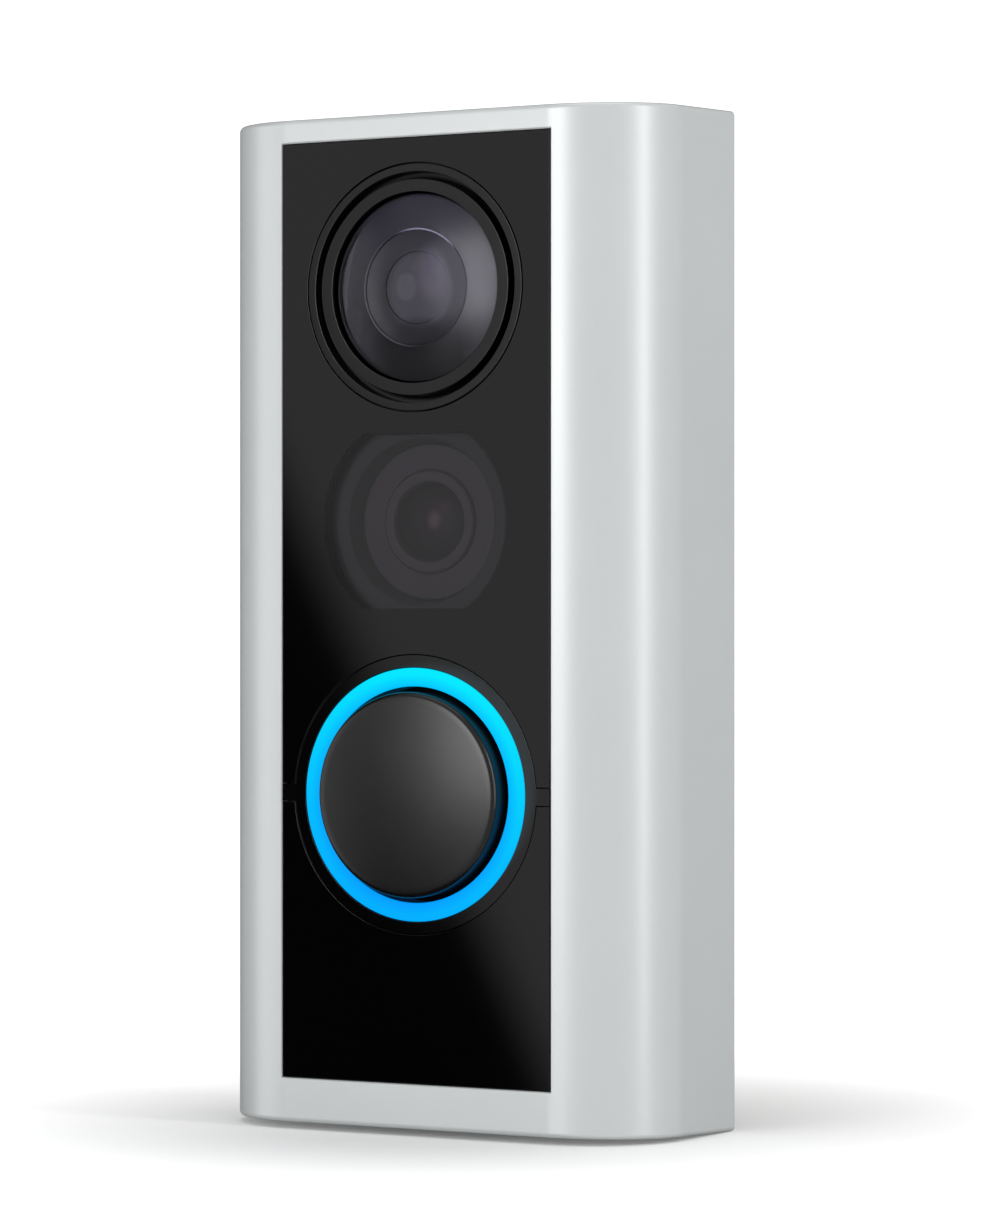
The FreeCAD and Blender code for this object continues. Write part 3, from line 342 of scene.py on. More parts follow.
def makeFloor():
    bm = bmesh.new()
    wide, near, far, low = (roomLook[k] for k in ("wide", "near", "far", "floor"))
    a = bm.verts.new((-wide, -near, low))
    b = bm.verts.new((-wide, far, low))
    c = bm.verts.new((-wide, far, low + 1.3))
    edges = [bm.edges.new((a, b)), bm.edges.new((b, c))]
    bmesh.ops.bevel(
        bm, geom=[b], offset=0.5, offset_type="OFFSET", segments=16, profile=0.5,
        affect="VERTICES", material=-1,
    )
    sweep = bmesh.ops.extrude_edge_only(bm, edges=bm.edges[:])
    moved = [g for g in sweep["geom"] if isinstance(g, bmesh.types.BMVert)]
    bmesh.ops.translate(bm, vec=(2 * wide, 0, 0), verts=moved)
    bmesh.ops.recalc_face_normals(bm, faces=bm.faces)
    mesh = bpy.data.meshes.new("floor")
    bm.to_mesh(mesh)
    bm.free()
    mesh.shade_smooth()
    floor = bpy.data.objects.new("floor", mesh)
    bpy.context.scene.collection.objects.link(floor)
    material = makeFinish("paleFloor", {
        "colour": (0.86, 0.86, 0.86, 1), "second": (0.88, 0.88, 0.88, 1), "rough": (0.8, 0.9),
        "patches": 3, "grain": 300, "bump": 0.02, "specular": 0.1,
    })
    shader = material.node_tree.nodes["Principled BSDF"]
    tree = material.node_tree
    # painted shadow: the sweep's glow is dimmed near the object and full away from it, which paints
    # the soft contact shadow round its foot
    place = tree.nodes["Texture Coordinate"]
    reach = tree.nodes.new("ShaderNodeVectorMath")
    reach.operation = "LENGTH"
    spread = tree.nodes.new("ShaderNodeMapRange")
    spread.inputs["From Min"].default_value = roomLook["glowStart"]
    spread.inputs["From Max"].default_value = roomLook["glowFull"]
    spread.inputs["To Min"].default_value = roomLook["paintedShadowGlow"]
    spread.inputs["To Max"].default_value = 1
    wire(tree, place.outputs["Object"], reach.inputs[0])
    wire(tree, reach.outputs["Value"], spread.inputs["Value"])
    wire(tree, spread.outputs["Result"], shader.inputs["Emission Color"])
    # that extra light is for the eye only, and the polished front sees the room, not the floor
    ray = tree.nodes.new("ShaderNodeLightPath")
    glow = tree.nodes.new("ShaderNodeMath")
    glow.operation = "MULTIPLY_ADD"
    glow.inputs[1].default_value = roomLook["glow"]
    glow.inputs[2].default_value = roomLook["spill"]
    clear = tree.nodes.new("ShaderNodeBsdfTransparent")
    mix = tree.nodes.new("ShaderNodeMixShader")
    wire(tree, ray.outputs["Is Camera Ray"], glow.inputs[0])
    wire(tree, glow.outputs["Value"], shader.inputs["Emission Strength"])
    wire(tree, ray.outputs["Is Glossy Ray"], mix.inputs["Fac"])
    wire(tree, shader.outputs["BSDF"], mix.inputs[1])
    wire(tree, clear.outputs["BSDF"], mix.inputs[2])
    wire(tree, mix.outputs["Shader"], tree.nodes["Material Output"].inputs["Surface"])
    mesh.materials.append(material)


def makeRoom():
    # the room is bright to the upper right and dark to the lower left, and white behind
    world = bpy.data.worlds.new("room")
    bpy.context.scene.world = world
    world.use_nodes = True
    tree = world.node_tree
    tree.nodes.clear()
    end = tree.nodes.new("ShaderNodeOutputWorld")
    place = tree.nodes.new("ShaderNodeTexCoord")
    lean = tree.nodes.new("ShaderNodeVectorMath")
    lean.operation = "DOT_PRODUCT"
    lean.inputs[1].default_value = roomLook["side"]
    wire(tree, place.outputs["Generated"], lean.inputs[0])
    ramp = tree.nodes.new("ShaderNodeMapRange")
    ramp.interpolation_type = "SMOOTHSTEP"
    ramp.inputs["From Min"].default_value = roomLook["edge"][0]
    ramp.inputs["From Max"].default_value = roomLook["edge"][1]
    ramp.inputs["To Min"].default_value = roomLook["dark"]
    ramp.inputs["To Max"].default_value = roomLook["bright"]
    wire(tree, lean.outputs["Value"], ramp.inputs["Value"])
    room = tree.nodes.new("ShaderNodeBackground")
    wire(tree, ramp.outputs["Result"], room.inputs["Color"])
    white = tree.nodes.new("ShaderNodeBackground")
    ray = tree.nodes.new("ShaderNodeLightPath")
    mix = tree.nodes.new("ShaderNodeMixShader")
    wire(tree, ray.outputs["Is Camera Ray"], mix.inputs["Fac"])
    wire(tree, room.outputs["Background"], mix.inputs[1])
    wire(tree, white.outputs["Background"], mix.inputs[2])
    wire(tree, mix.outputs["Shader"], end.inputs["Surface"])


def softLight(name, place, size, power):
    lamp = bpy.data.lights.new(name, "AREA")
    lamp.shape = "RECTANGLE"
    lamp.size, lamp.size_y = size
    lamp.energy = power
    thing = bpy.data.objects.new(name, lamp)
    thing.location = place
    way = Vector(roomLook["aim"]) - thing.location
    thing.rotation_euler = way.to_track_quat("-Z", "Y").to_euler()
    bpy.context.scene.collection.objects.link(thing)


lights = {
    "faceLight": ((-0.28, -1.16, 0.13), (0.42, 0.42), 4.2),
    "leftLight": ((-0.95, -0.55, -0.02), (0.7, 0.7), 2.6),
    "rightStrip": ((1.0, -0.10, 0.22), (0.10, 0.9), 3.5),
    "topLight": ((0.0, 0.1, 1.1), (0.8, 0.8), 2.5),
}

makeFloor()
makeRoom()
for name, values in lights.items():
    softLight(name, *values)
print("camera and room ready")


# silver shell

shellLook = {
    "wide": 49.0, "top": 17.4, "bottom": -81.2, "front": -20.0, "back": -0.5,
    "flare": math.tan(math.radians(2)), "corner": 9.37, "innerCorner": 6.18, "endRound": 0.5,
    "side": 2.0, "end": 1.6, "face": 1.2, "rim": 1.0, "ledge": -4.0,
    "window": (-14.9, 14.9, -76.2, 14.4), "chamfer": 0.14,
    "slots": 5, "slotStart": -6.4, "slotPitch": 3.2, "slotWide": 1.4, "slotRound": 0.65,
    "slotFront": -8.6, "slotBack": -4.8, "portRadius": 0.6, "portAt": (-12, -8),
}

silverPaint = makeFinish("silverPaint", {
    "colour": (0.57, 0.59, 0.592, 1), "second": (0.60, 0.62, 0.622, 1), "rough": (0.34, 0.40),
    "metallic": 0.18, "grain": 9000, "bump": 0.10, "relief": 0.000012, "patches": 60, "coat": 0.15,
    "coatRough": 0.25,
})


def flaredBlock(front, back, side, end, corner, endRound=0):
    # a block that widens with the shell's draft, with rounded upright front corners
    look = shellLook
    shrink = (look["back"] - front) * look["flare"]
    half = look["wide"] / 2 - side - shrink
    low, high = look["bottom"] + end + shrink, look["top"] - end - shrink
    bm = blockShape(-half, half, front, back, low, high)
    grow = (back - front) * look["flare"]
    rear = [v for v in bm.verts if abs(v.co.y - back) < 0.01]
    middle = (low + high) / 2
    bmesh.ops.scale(
        bm, vec=(1 + grow / half, 1, 1 + grow / ((high - low) / 2)), verts=rear,
        space=Matrix.Translation((0, 0, -middle)),
    )
    if corner:
        roundEdges(bm, lambda e: alongAxis(e, 2) and e.verts[0].co.y < front + 0.01, corner, 28)
    if endRound:
        bm.normal_update()

        def onEnd(edge):
            ends = sum(abs(f.normal.z) > 0.9 for f in edge.link_faces)
            return ends == 1 and min(v.co.y for v in edge.verts) < back - 0.01

        roundEdges(bm, onEnd, endRound, 4)
    return bm


def makeShell():
    look = shellLook
    front, back = look["front"], look["back"]
    outer = flaredBlock(front, back, 0, 0, look["corner"], look["endRound"])
    hollow = flaredBlock(
        front + look["face"], back + 1, look["side"], look["end"], look["innerCorner"]
    )
    rebate = flaredBlock(look["ledge"], back + 1.5, look["rim"], look["rim"], 0)
    x0, x1, z0, z1 = look["window"]
    chamfer = look["chamfer"]
    opening = blockShape(x0, x1, front + chamfer, front + 4, z0, z1)
    face = [f for f in opening.faces if f.calc_center_median().y < front + chamfer + 0.01]
    for step, grow in ((chamfer, chamfer), (1, 0)):
        made = bmesh.ops.extrude_face_region(opening, geom=face)
        bmesh.ops.delete(opening, geom=face, context="FACES_ONLY")
        verts = [g for g in made["geom"] if isinstance(g, bmesh.types.BMVert)]
        face = [g for g in made["geom"] if isinstance(g, bmesh.types.BMFace)]
        bmesh.ops.translate(opening, vec=(0, -step, 0), verts=verts)
        bmesh.ops.scale(
            opening, vec=(1 + 2 * grow / (x1 - x0), 1, 1 + 2 * grow / (z1 - z0)), verts=verts,
            space=Matrix.Translation((0, 0, -(z0 + z1) / 2)),
        )
    bmesh.ops.recalc_face_normals(opening, faces=opening.faces)
    # sound slots and the microphone port in the underside
    under, through = look["bottom"] - 1, look["bottom"] + 3
    slots = []
    for index in range(look["slots"]):
        left = look["slotStart"] + index * look["slotPitch"]
        slot = blockShape(
            left, left + look["slotWide"], look["slotFront"], look["slotBack"], under, through
        )
        roundEdges(slot, lambda e: alongAxis(e, 2), look["slotRound"], 5)
        slots.append(slot)
    port = rodShape(look["portRadius"], under, through, steps=32)
    upright = Matrix.Rotation(math.pi / 2, 3, "X")
    bmesh.ops.rotate(port, cent=(0, 0, 0), matrix=upright, verts=port.verts)
    bmesh.ops.translate(port, vec=(*look["portAt"], 0), verts=port.verts)
    shell = carved(outer, hollow)
    shell = carved(shell, rebate)
    shell = carved(shell, opening)
    shell = carved(shell, joined(*slots, port))
    finishPiece("frontShell", shell, silverPaint, ["front_shell"], edge=0.05, sharp=25)


makeShell()


# black face: two panels round the viewer lens and the button

faceLook = {
    "half": 14.8, "front": -19.95, "back": -18.65, "top": 14.3, "upperEnd": -47.6,
    "lowerTop": -49.4, "bottom": -76.1, "lensHole": 11.96, "buttonHole": 13.43, "button": -48.5,
    "edge": 0.03,
}
windowLook = {
    "camera": -22.35, "radius": 9.95, "height": 8.35, "smoke": (0.62, 0.60, 0.63, 1),
    "rough": 0.03, "ior": 1.5,
}

panelGloss = makeFinish("panelGloss", {
    "colour": (0.0003, 0.0003, 0.0003, 1), "second": (0.0006, 0.0006, 0.0006, 1),
    "rough": (0.02, 0.045), "patches": 45, "grain": 2500, "bump": 0.006, "relief": 0.000005,
})


def addCameraWindow(material):
    # the black backing stops round the camera, so the smoked plastic shows what is behind it
    look = windowLook
    tree = material.node_tree
    shader = tree.nodes["Principled BSDF"]
    place = tree.nodes.new("ShaderNodeTexCoord")
    centre = tree.nodes.new("ShaderNodeMapping")
    centre.inputs["Location"].default_value = (0, 0, -look["camera"] * 0.001)
    flat = tree.nodes.new("ShaderNodeVectorMath")
    flat.operation = "MULTIPLY"
    flat.inputs[1].default_value = (1, 0, 1)
    reach = tree.nodes.new("ShaderNodeVectorMath")
    reach.operation = "LENGTH"
    mask = tree.nodes.new("ShaderNodeMapRange")
    mask.inputs["From Min"].default_value = look["radius"] * 0.001
    mask.inputs["From Max"].default_value = look["radius"] * 0.001 + 0.0003
    mask.inputs["To Min"].default_value = 1
    mask.inputs["To Max"].default_value = 0
    split = tree.nodes.new("ShaderNodeSeparateXYZ")
    away = tree.nodes.new("ShaderNodeMath")
    away.operation = "ABSOLUTE"
    cut = tree.nodes.new("ShaderNodeMapRange")
    cut.inputs["From Min"].default_value = look["height"] * 0.001
    cut.inputs["From Max"].default_value = look["height"] * 0.001 + 0.0001
    cut.inputs["To Min"].default_value = 1
    cut.inputs["To Max"].default_value = 0
    both = tree.nodes.new("ShaderNodeMath")
    both.operation = "MULTIPLY"
    through = tree.nodes.new("ShaderNodeBsdfTransparent")
    through.inputs["Color"].default_value = look["smoke"]
    mirror = tree.nodes.new("ShaderNodeBsdfGlossy")
    mirror.inputs["Roughness"].default_value = look["rough"]
    angle = tree.nodes.new("ShaderNodeFresnel")
    angle.inputs["IOR"].default_value = look["ior"]
    smoked = tree.nodes.new("ShaderNodeMixShader")
    mix = tree.nodes.new("ShaderNodeMixShader")
    wire(tree, place.outputs["Object"], centre.inputs["Vector"])
    wire(tree, centre.outputs["Vector"], flat.inputs[0])
    wire(tree, flat.outputs["Vector"], reach.inputs[0])
    wire(tree, reach.outputs["Value"], mask.inputs["Value"])
    wire(tree, angle.outputs["Fac"], smoked.inputs["Fac"])
    wire(tree, through.outputs["BSDF"], smoked.inputs[1])
    wire(tree, mirror.outputs["BSDF"], smoked.inputs[2])
    wire(tree, centre.outputs["Vector"], split.inputs["Vector"])
    wire(tree, split.outputs["Z"], away.inputs[0])
    wire(tree, away.outputs["Value"], cut.inputs["Value"])
    wire(tree, mask.outputs["Result"], both.inputs[0])
    wire(tree, cut.outputs["Result"], both.inputs[1])
    wire(tree, both.outputs["Value"], mix.inputs["Fac"])
    wire(tree, shader.outputs["BSDF"], mix.inputs[1])
    wire(tree, smoked.outputs["Shader"], mix.inputs[2])
    wire(tree, mix.outputs["Shader"], tree.nodes["Material Output"].inputs["Surface"])


addCameraWindow(panelGloss)


def makePanels():
    look = faceLook
    half, front, back = look["half"], look["front"], look["back"]

    def hole(radius, z):
        return rodShape(radius, front - 1, back + 1, z=z, steps=128)

    upper = blockShape(-half, half, front, back, look["upperEnd"], look["top"])
    upper = carved(upper, hole(look["lensHole"], 0))
    upper = carved(upper, hole(look["buttonHole"], look["button"]))
    lower = blockShape(-half, half, front, back, look["bottom"], look["lowerTop"])
    lower = carved(lower, hole(look["buttonHole"], look["button"]))
    for name, panel, node in (
        ("upperFace", upper, "upper_face_panel"), ("lowerFace", lower, "lower_face_panel")
    ):
        finishPiece(name, panel, panelGloss, [node], edge=look["edge"])


makePanels()


# soft painted light: reflections, highlights and shade painted as tints

def addPaintedSpot(tree, place, colours, centre, radius, soft, strength, tint):
    # a soft round painted tint about a point (x, z) on the front, standing in for a reflection,
    # highlight or shade
    shift = tree.nodes.new("ShaderNodeMapping")
    ratio = radius[0] / radius[1]
    shift.inputs["Location"].default_value = (-centre[0] * 0.001, 0, -centre[1] * ratio * 0.001)
    shift.inputs["Scale"].default_value = (1, 0, ratio)
    reach = tree.nodes.new("ShaderNodeVectorMath")
    reach.operation = "LENGTH"
    mask = tree.nodes.new("ShaderNodeMapRange")
    mask.interpolation_type = "SMOOTHSTEP"
    mask.inputs["From Min"].default_value = (radius[0] - soft) * 0.001
    mask.inputs["From Max"].default_value = (radius[0] + soft) * 0.001
    mask.inputs["To Min"].default_value = strength
    mask.inputs["To Max"].default_value = 0
    blend = tree.nodes.new("ShaderNodeMix")
    blend.data_type = "RGBA"
    blend.inputs["B"].default_value = tint
    wire(tree, place.outputs["Object"], shift.inputs["Vector"])
    wire(tree, shift.outputs["Vector"], reach.inputs[0])
    wire(tree, reach.outputs["Value"], mask.inputs["Value"])
    wire(tree, mask.outputs["Result"], blend.inputs["Factor"])
    wire(tree, colours, blend.inputs["A"])
    return blend.outputs["Result"]


def makePaintedLight(name, look, spots):
    # a finish with soft painted tints on it that stand in for light and shade, such as the reflected
    # images that the layers of a lens make
    material = makeFinish(name, look)
    tree = material.node_tree
    shader = tree.nodes["Principled BSDF"]
    place = tree.nodes["Texture Coordinate"]
    colours = shader.inputs["Base Color"].links[0].from_socket
    for spot in spots:
        colours = addPaintedSpot(tree, place, colours, *spot)
    wire(tree, colours, shader.inputs["Base Color"])
    return material


# button, its glowing ring and the surround

buttonLook = {
    "z": -48.5, "dishIn": 12.19, "dishOut": 13.35, "dishBack": -14.0, "armIn": 13.0, "armOut": 14.8,
    "armHalf": 0.8, "armBack": -17.2, "bandIn": 10.35, "bandOut": 12.13, "bandFront": -20.0,
    "bandBack": -11.9, "collar": 13.35, "collarFront": -14.0, "collarBack": -13.2,
    "cap": 9.85, "capRim": -21.58, "capRise": 0.51, "skirtIn": 8.6, "flange": 10.75,
    "flangeFront": -17.0, "flangeBack": -16.4, "floor": -17.6, "post": 1.6, "postEnd": -15.75,
}
glowLook = {
    "strength": 1.0, "lean": (0.25, 0, 0.968), "reach": 0.0121, "innerStart": 0.01035,
    "innerEnd": 0.0115, "innerMix": 0.38, "clearFront": -0.01992, "clearBack": -0.01975, "wall": 0.03,
    "stops": ((0, (0, 168, 252)), (0.35, (0, 184, 255)), (0.62, (0, 203, 255)), (1, (0, 230, 255))),
    "deep": (6, 104, 245),
}

# the surround's blue spot is a painted reflection of the ring's glow on the dish's right and upper
# side
surroundGloss = makePaintedLight("surroundGloss", {
    "colour": (0.0003, 0.0003, 0.0004, 1), "second": (0.0006, 0.0006, 0.0007, 1),
    "rough": (0.05, 0.08), "patches": 45, "grain": 2500, "bump": 0.006, "relief": 0.000005,
}, [
    ((2.0, -47.3), (11.2, 11.2), 0.7, 0.9, (0.015, 0.022, 0.027, 1)),
])
buttonSatin = makeFinish("buttonSatin", {
    "colour": (0.0025, 0.0025, 0.0028, 1), "second": (0.004, 0.004, 0.0044, 1),
    "rough": (0.25, 0.28), "patches": 200, "grain": 7000, "bump": 0.22, "relief": 0.00002,
    "specular": 0.42,
})


def makeRingGlow():
    # blue light that is greener at the top and bluer low on the left and inside
    material = makeFinish("ringGlow", {
        "colour": (0.0, 0.03, 0.05, 1), "second": (0.0, 0.04, 0.07, 1), "rough": (0.25, 0.4),
        "grain": 5000, "bump": 0.08, "patches": 400, "specular": 0.02,
    })
    look = glowLook
    tree = material.node_tree
    shader = tree.nodes["Principled BSDF"]
    place = tree.nodes.new("ShaderNodeTexCoord")
    centre = tree.nodes.new("ShaderNodeMapping")
    centre.inputs["Location"].default_value = (0, 0, -buttonLook["z"] * 0.001)
    lean = tree.nodes.new("ShaderNodeVectorMath")
    lean.operation = "DOT_PRODUCT"
    lean.inputs[1].default_value = look["lean"]
    spread = tree.nodes.new("ShaderNodeMapRange")
    spread.inputs["From Min"].default_value = -look["reach"]
    spread.inputs["From Max"].default_value = look["reach"]
    ramp = tree.nodes.new("ShaderNodeValToRGB")
    stops = ramp.color_ramp.elements
    stops[0].color, stops[1].color = tone(*look["stops"][0][1]), tone(*look["stops"][-1][1])
    for at, colour in look["stops"][1:-1]:
        stops.new(at).color = tone(*colour)
    flat = tree.nodes.new("ShaderNodeVectorMath")
    flat.operation = "MULTIPLY"
    flat.inputs[1].default_value = (1, 0, 1)
    reach = tree.nodes.new("ShaderNodeVectorMath")
    reach.operation = "LENGTH"
    inner = tree.nodes.new("ShaderNodeMapRange")
    inner.inputs["From Min"].default_value = look["innerStart"]
    inner.inputs["From Max"].default_value = look["innerEnd"]
    inner.inputs["To Min"].default_value = look["innerMix"]
    inner.inputs["To Max"].default_value = 0
    deep = tree.nodes.new("ShaderNodeMix")
    deep.data_type = "RGBA"
    deep.inputs["B"].default_value = tone(*look["deep"])
    wire(tree, place.outputs["Object"], centre.inputs["Vector"])
    wire(tree, centre.outputs["Vector"], lean.inputs[0])
    wire(tree, lean.outputs["Value"], spread.inputs["Value"])
    wire(tree, spread.outputs["Result"], ramp.inputs["Fac"])
    wire(tree, centre.outputs["Vector"], flat.inputs[0])
    wire(tree, flat.outputs["Vector"], reach.inputs[0])
    wire(tree, reach.outputs["Value"], inner.inputs["Value"])
    wire(tree, inner.outputs["Result"], deep.inputs["Factor"])
    wire(tree, ramp.outputs["Color"], deep.inputs["A"])
    # only the front of the band is clear; its walls are painted
    split = tree.nodes.new("ShaderNodeSeparateXYZ")
    front = tree.nodes.new("ShaderNodeMapRange")
    front.inputs["From Min"].default_value = look["clearFront"]
    front.inputs["From Max"].default_value = look["clearBack"]
    front.inputs["To Min"].default_value = 1
    front.inputs["To Max"].default_value = look["wall"]
    fade = tree.nodes.new("ShaderNodeVectorMath")
    fade.operation = "SCALE"
    wire(tree, place.outputs["Object"], split.inputs["Vector"])
    wire(tree, split.outputs["Y"], front.inputs["Value"])
    wire(tree, deep.outputs["Result"], fade.inputs[0])
    wire(tree, front.outputs["Result"], fade.inputs["Scale"])
    wire(tree, fade.outputs["Vector"], shader.inputs["Emission Color"])
    shader.inputs["Emission Strength"].default_value = look["strength"]
    return material


ringGlow = makeRingGlow()


def makeButton():
    look = buttonLook
    z, inner, outer, back = look["z"], look["dishIn"], look["dishOut"], look["dishBack"]
    dish = turnedShape([
        (inner, -19.95, 0.03), (outer, -19.94, 0.03), (outer, back), (inner, back),
    ], steps=128, z=z)
    near, far, half = look["armIn"], look["armOut"], look["armHalf"]
    for left, right in ((-far, -near), (near, far)):
        arm = blockShape(left, right, -19.94, look["armBack"], z - half, z + half)
        dish = carved(dish, arm, "UNION")
    finishPiece("buttonDish", dish, surroundGloss, ["button_surround"], edge=0.03)

    inner, outer, collar = look["bandIn"], look["bandOut"], look["collar"]
    front, back = look["bandFront"], look["bandBack"]
    collarFront, collarBack = look["collarFront"], look["collarBack"]
    ring = turnedShape([
        (inner, front, 0.16), (outer, front, 0.16), (outer, collarFront), (collar, collarFront, 0.1),
        (collar, collarBack, 0.1), (outer, collarBack), (outer, back), (inner, back),
    ], steps=128, z=z)
    finishPiece("glowRing", ring, ringGlow, ["light_ring"])

    radius, rim, rise, flange = look["cap"], look["capRim"], look["capRise"], look["flange"]
    front, back, skirt = look["flangeFront"], look["flangeBack"], look["skirtIn"]
    floor, post, postEnd = look["floor"], look["post"], look["postEnd"]
    cap = turnedShape([
        (0, rim - rise), (radius, rim, 0.6, domeBulge(radius, rise)), (radius, front),
        (flange, front, 0.1), (flange, back, 0.1), (skirt, back), (skirt, floor), (post, floor),
        (post, postEnd, 0.2), (0, postEnd),
    ], steps=128, closed=False, z=z)
    finishPiece("pushCap", cap, buttonSatin, ["button_cap"], body="button")


makeButton()


# rubber dome that the cap's post squashes over the switch

domeLook = {
    "top": -15.5, "under": -15.05, "board": -11.0, "wide": 6.2, "wall": 0.5, "flange": 8.4,
    "flangeThick": 0.6, "nub": 1.9, "keep": 0.917,
}

domeRubber = makeFinish("domeRubber", {
    "colour": (0.006, 0.006, 0.006, 1), "second": (0.011, 0.011, 0.011, 1), "rough": (0.5, 0.65),
    "patches": 260, "grain": 2600, "bump": 0.15, "relief": 0.00003,
})


def makeDome():
    look = domeLook
    top, under, board, nub = look["top"], look["under"], look["board"], look["nub"]
    wide, flange = look["wide"], look["flange"]
    inside, step = wide - look["wall"], board - look["flangeThick"]
    dome = turnedShape([
        (0, top), (nub, top, 0.1), (nub + 0.4, top + 0.15), (wide - 0.9, top + 0.4, 0.3),
        (wide, top + 1.4, 0.2), (wide, step), (flange, step, 0.1), (flange, board),
        (inside, board), (inside, under + 1.25), (inside - 0.7, under + 0.5),
        (nub + 0.3, under + 0.25), (nub + 0.1, under), (0, under),
    ], steps=96, closed=False, z=buttonLook["z"])
    piece = finishPiece("pressDome", dome, domeRubber, ["button_dome"])
    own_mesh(piece)


makeDome()


# viewer lens and its rings

lensLook = {
    "front": -19.95, "ringRound": 0.05, "trim": (11.05, 11.82, -18.65),
    "holder": (9.15, 10.34, -18.1), "seat": (9.65, 10.5, -18.6, -17.4),
    "glass": 9.13, "apex": -20.3, "rise": 0.95, "rim": 0.25,
    "core": 9.12, "coreRim": -19.05, "coreBack": -14.8, "hollow": 3.45, "step": 5.55, "bead": 5.6,
}

trimBlack = makeFinish("trimBlack", {
    "colour": (0.0008, 0.0008, 0.0009, 1), "second": (0.0014, 0.0014, 0.0015, 1),
    "rough": (0.09, 0.14), "patches": 300, "grain": 5000, "bump": 0.02, "relief": 0.00001,
})
lensGlass = makeGlass("lensGlass", {
    "tint": (0.95, 0.945, 0.96, 1), "second": (0.92, 0.915, 0.94, 1),
    "coating": (0.12, 0.118, 0.135, 1), "rough": (0.16, 0.20), "ior": 1.5,
})


# the inner lens's tints are painted light: a purple-grey reflection at the top, a lighter reflection
# on the right, the hollow's tone, a brighter disc, two small painted highlights and painted shade low
# down
opticPaintedReflections = makePaintedLight("opticPaintedReflections", {
    "colour": (0.030, 0.030, 0.031, 1), "second": (0.038, 0.038, 0.040, 1), "rough": (0.22, 0.3),
    "patches": 180, "grain": 900, "bump": 0.002, "relief": 0.000002, "specular": 0.2,
}, [
    ((0.5, 8.6), (9.0, 6.2), 3.2, 0.9, (0.068, 0.063, 0.086, 1)),
    ((8.6, 1.2), (3.4, 8.6), 1.6, 0.85, (0.150, 0.148, 0.158, 1)),
    ((0.0, 0.0), (5.5, 5.5), 0.25, 0.75, (0.050, 0.048, 0.058, 1)),
    ((0.3, -0.2), (3.5, 3.7), 0.5, 0.8, (0.125, 0.119, 0.143, 1)),
    ((1.6, 1.3), (1.5, 2.3), 0.8, 0.8, (0.20, 0.185, 0.245, 1)),
    ((-1.3, 0.1), (1.1, 1.3), 0.2, 0.6, (0.19, 0.182, 0.20, 1)),
    ((0.2, -4.6), (3.0, 1.6), 1.2, 0.7, (0.016, 0.016, 0.018, 1)),
])
# the bead's two spots are painted highlights: a lighter arc on the left and a bright purple-white
# glint at the upper right
beadPaintedGlint = makePaintedLight("beadPaintedGlint", {
    "colour": (0.05, 0.047, 0.06, 1), "second": (0.07, 0.066, 0.08, 1), "rough": (0.2, 0.3),
    "patches": 180, "grain": 900, "bump": 0.01,
}, [
    ((-4.0, -2.0), (3.4, 5.5), 2.0, 0.8, (0.30, 0.29, 0.32, 1)),
    ((2.0, 5.4), (3.2, 1.8), 1.2, 0.95, (0.80, 0.72, 1.0, 1)),
])


def makeLens():
    look = lensLook
    front, soft = look["front"], look["ringRound"]
    inner, outer, back = look["trim"]
    trim = turnedShape([
        (inner, front, soft), (outer, front, soft), (outer, back), (inner, back),
    ], steps=128)
    finishPiece("lensTrim", trim, trimBlack, ["lens_trim_ring"])

    inner, outer, lip = look["holder"]
    bore, seat, shoulder, back = look["seat"]
    holder = turnedShape([
        (inner, front, soft), (outer, front, soft), (outer, shoulder), (seat, shoulder + 0.1),
        (seat, back), (bore, back), (bore, lip), (inner, lip, 0.08),
    ], steps=128)
    finishPiece("lensHolder", holder, trimBlack, ["lens_retainer_ring"])

    radius, apex, rise, rim = look["glass"], look["apex"], look["rise"], look["rim"]
    bulge = domeBulge(radius, rise)
    glass = turnedShape([
        (0, apex), (radius, apex + rise, 0, bulge), (radius, apex + rise + rim),
        (0, apex + rim, 0, -bulge),
    ], steps=128, closed=False)
    finishPiece("viewerGlass", glass, lensGlass, ["front_lens"])

    # the lens behind the clear front: a coated dome with a stepped hollow in the middle, whose
    # reflections and shade are painted on
    radius, rim, back = look["core"], look["coreRim"], look["coreBack"]
    hollow, step, bead = look["hollow"], look["step"], look["bead"]
    core = turnedShape([
        (0, -19.15), (hollow, -19.25, 0.05, -0.01), (hollow + 0.05, -19.35, 0.03),
        (step, -19.5, 0.05, -0.03), (step + 0.07, -19.66), (radius, rim, 0, 0.06), (radius, back),
        (0, back),
    ], steps=128, closed=False)
    finishPiece("lensCore", core, opticPaintedReflections, [])
    bead = turnedShape([
        (bead - 0.08, -19.62, 0.03), (bead, -19.76, 0.03), (bead + 0.08, -19.70, 0.03),
        (bead + 0.08, -19.56), (bead - 0.08, -19.5),
    ], steps=128)
    finishPiece("lensBead", bead, beadPaintedGlint, [])


makeLens()


# camera lens behind the smoked face

cameraLens = {"radius": 3.72, "apex": -16.64, "rise": 0.88, "back": -15.1}

# the camera lens's spots are painted reflections: a pinkish glow and a bright pink highlight at the
# centre, and a red glint at the upper right
cameraPaintedReflections = makePaintedLight("cameraPaintedReflections", {
    "colour": (0.030, 0.029, 0.032, 1), "second": (0.036, 0.034, 0.038, 1), "rough": (0.3, 0.4),
    "patches": 120, "grain": 900, "bump": 0.004, "relief": 0.000002, "specular": 0.2,
}, [
    ((0.2, -22.3), (2.2, 2.2), 1.2, 0.6, (0.085, 0.066, 0.078, 1)),
    ((0.25, -22.2), (0.6, 0.75), 0.4, 0.85, (0.42, 0.27, 0.31, 1)),
    ((1.5, -20.8), (0.5, 0.5), 0.4, 0.5, (0.22, 0.10, 0.10, 1)),
])


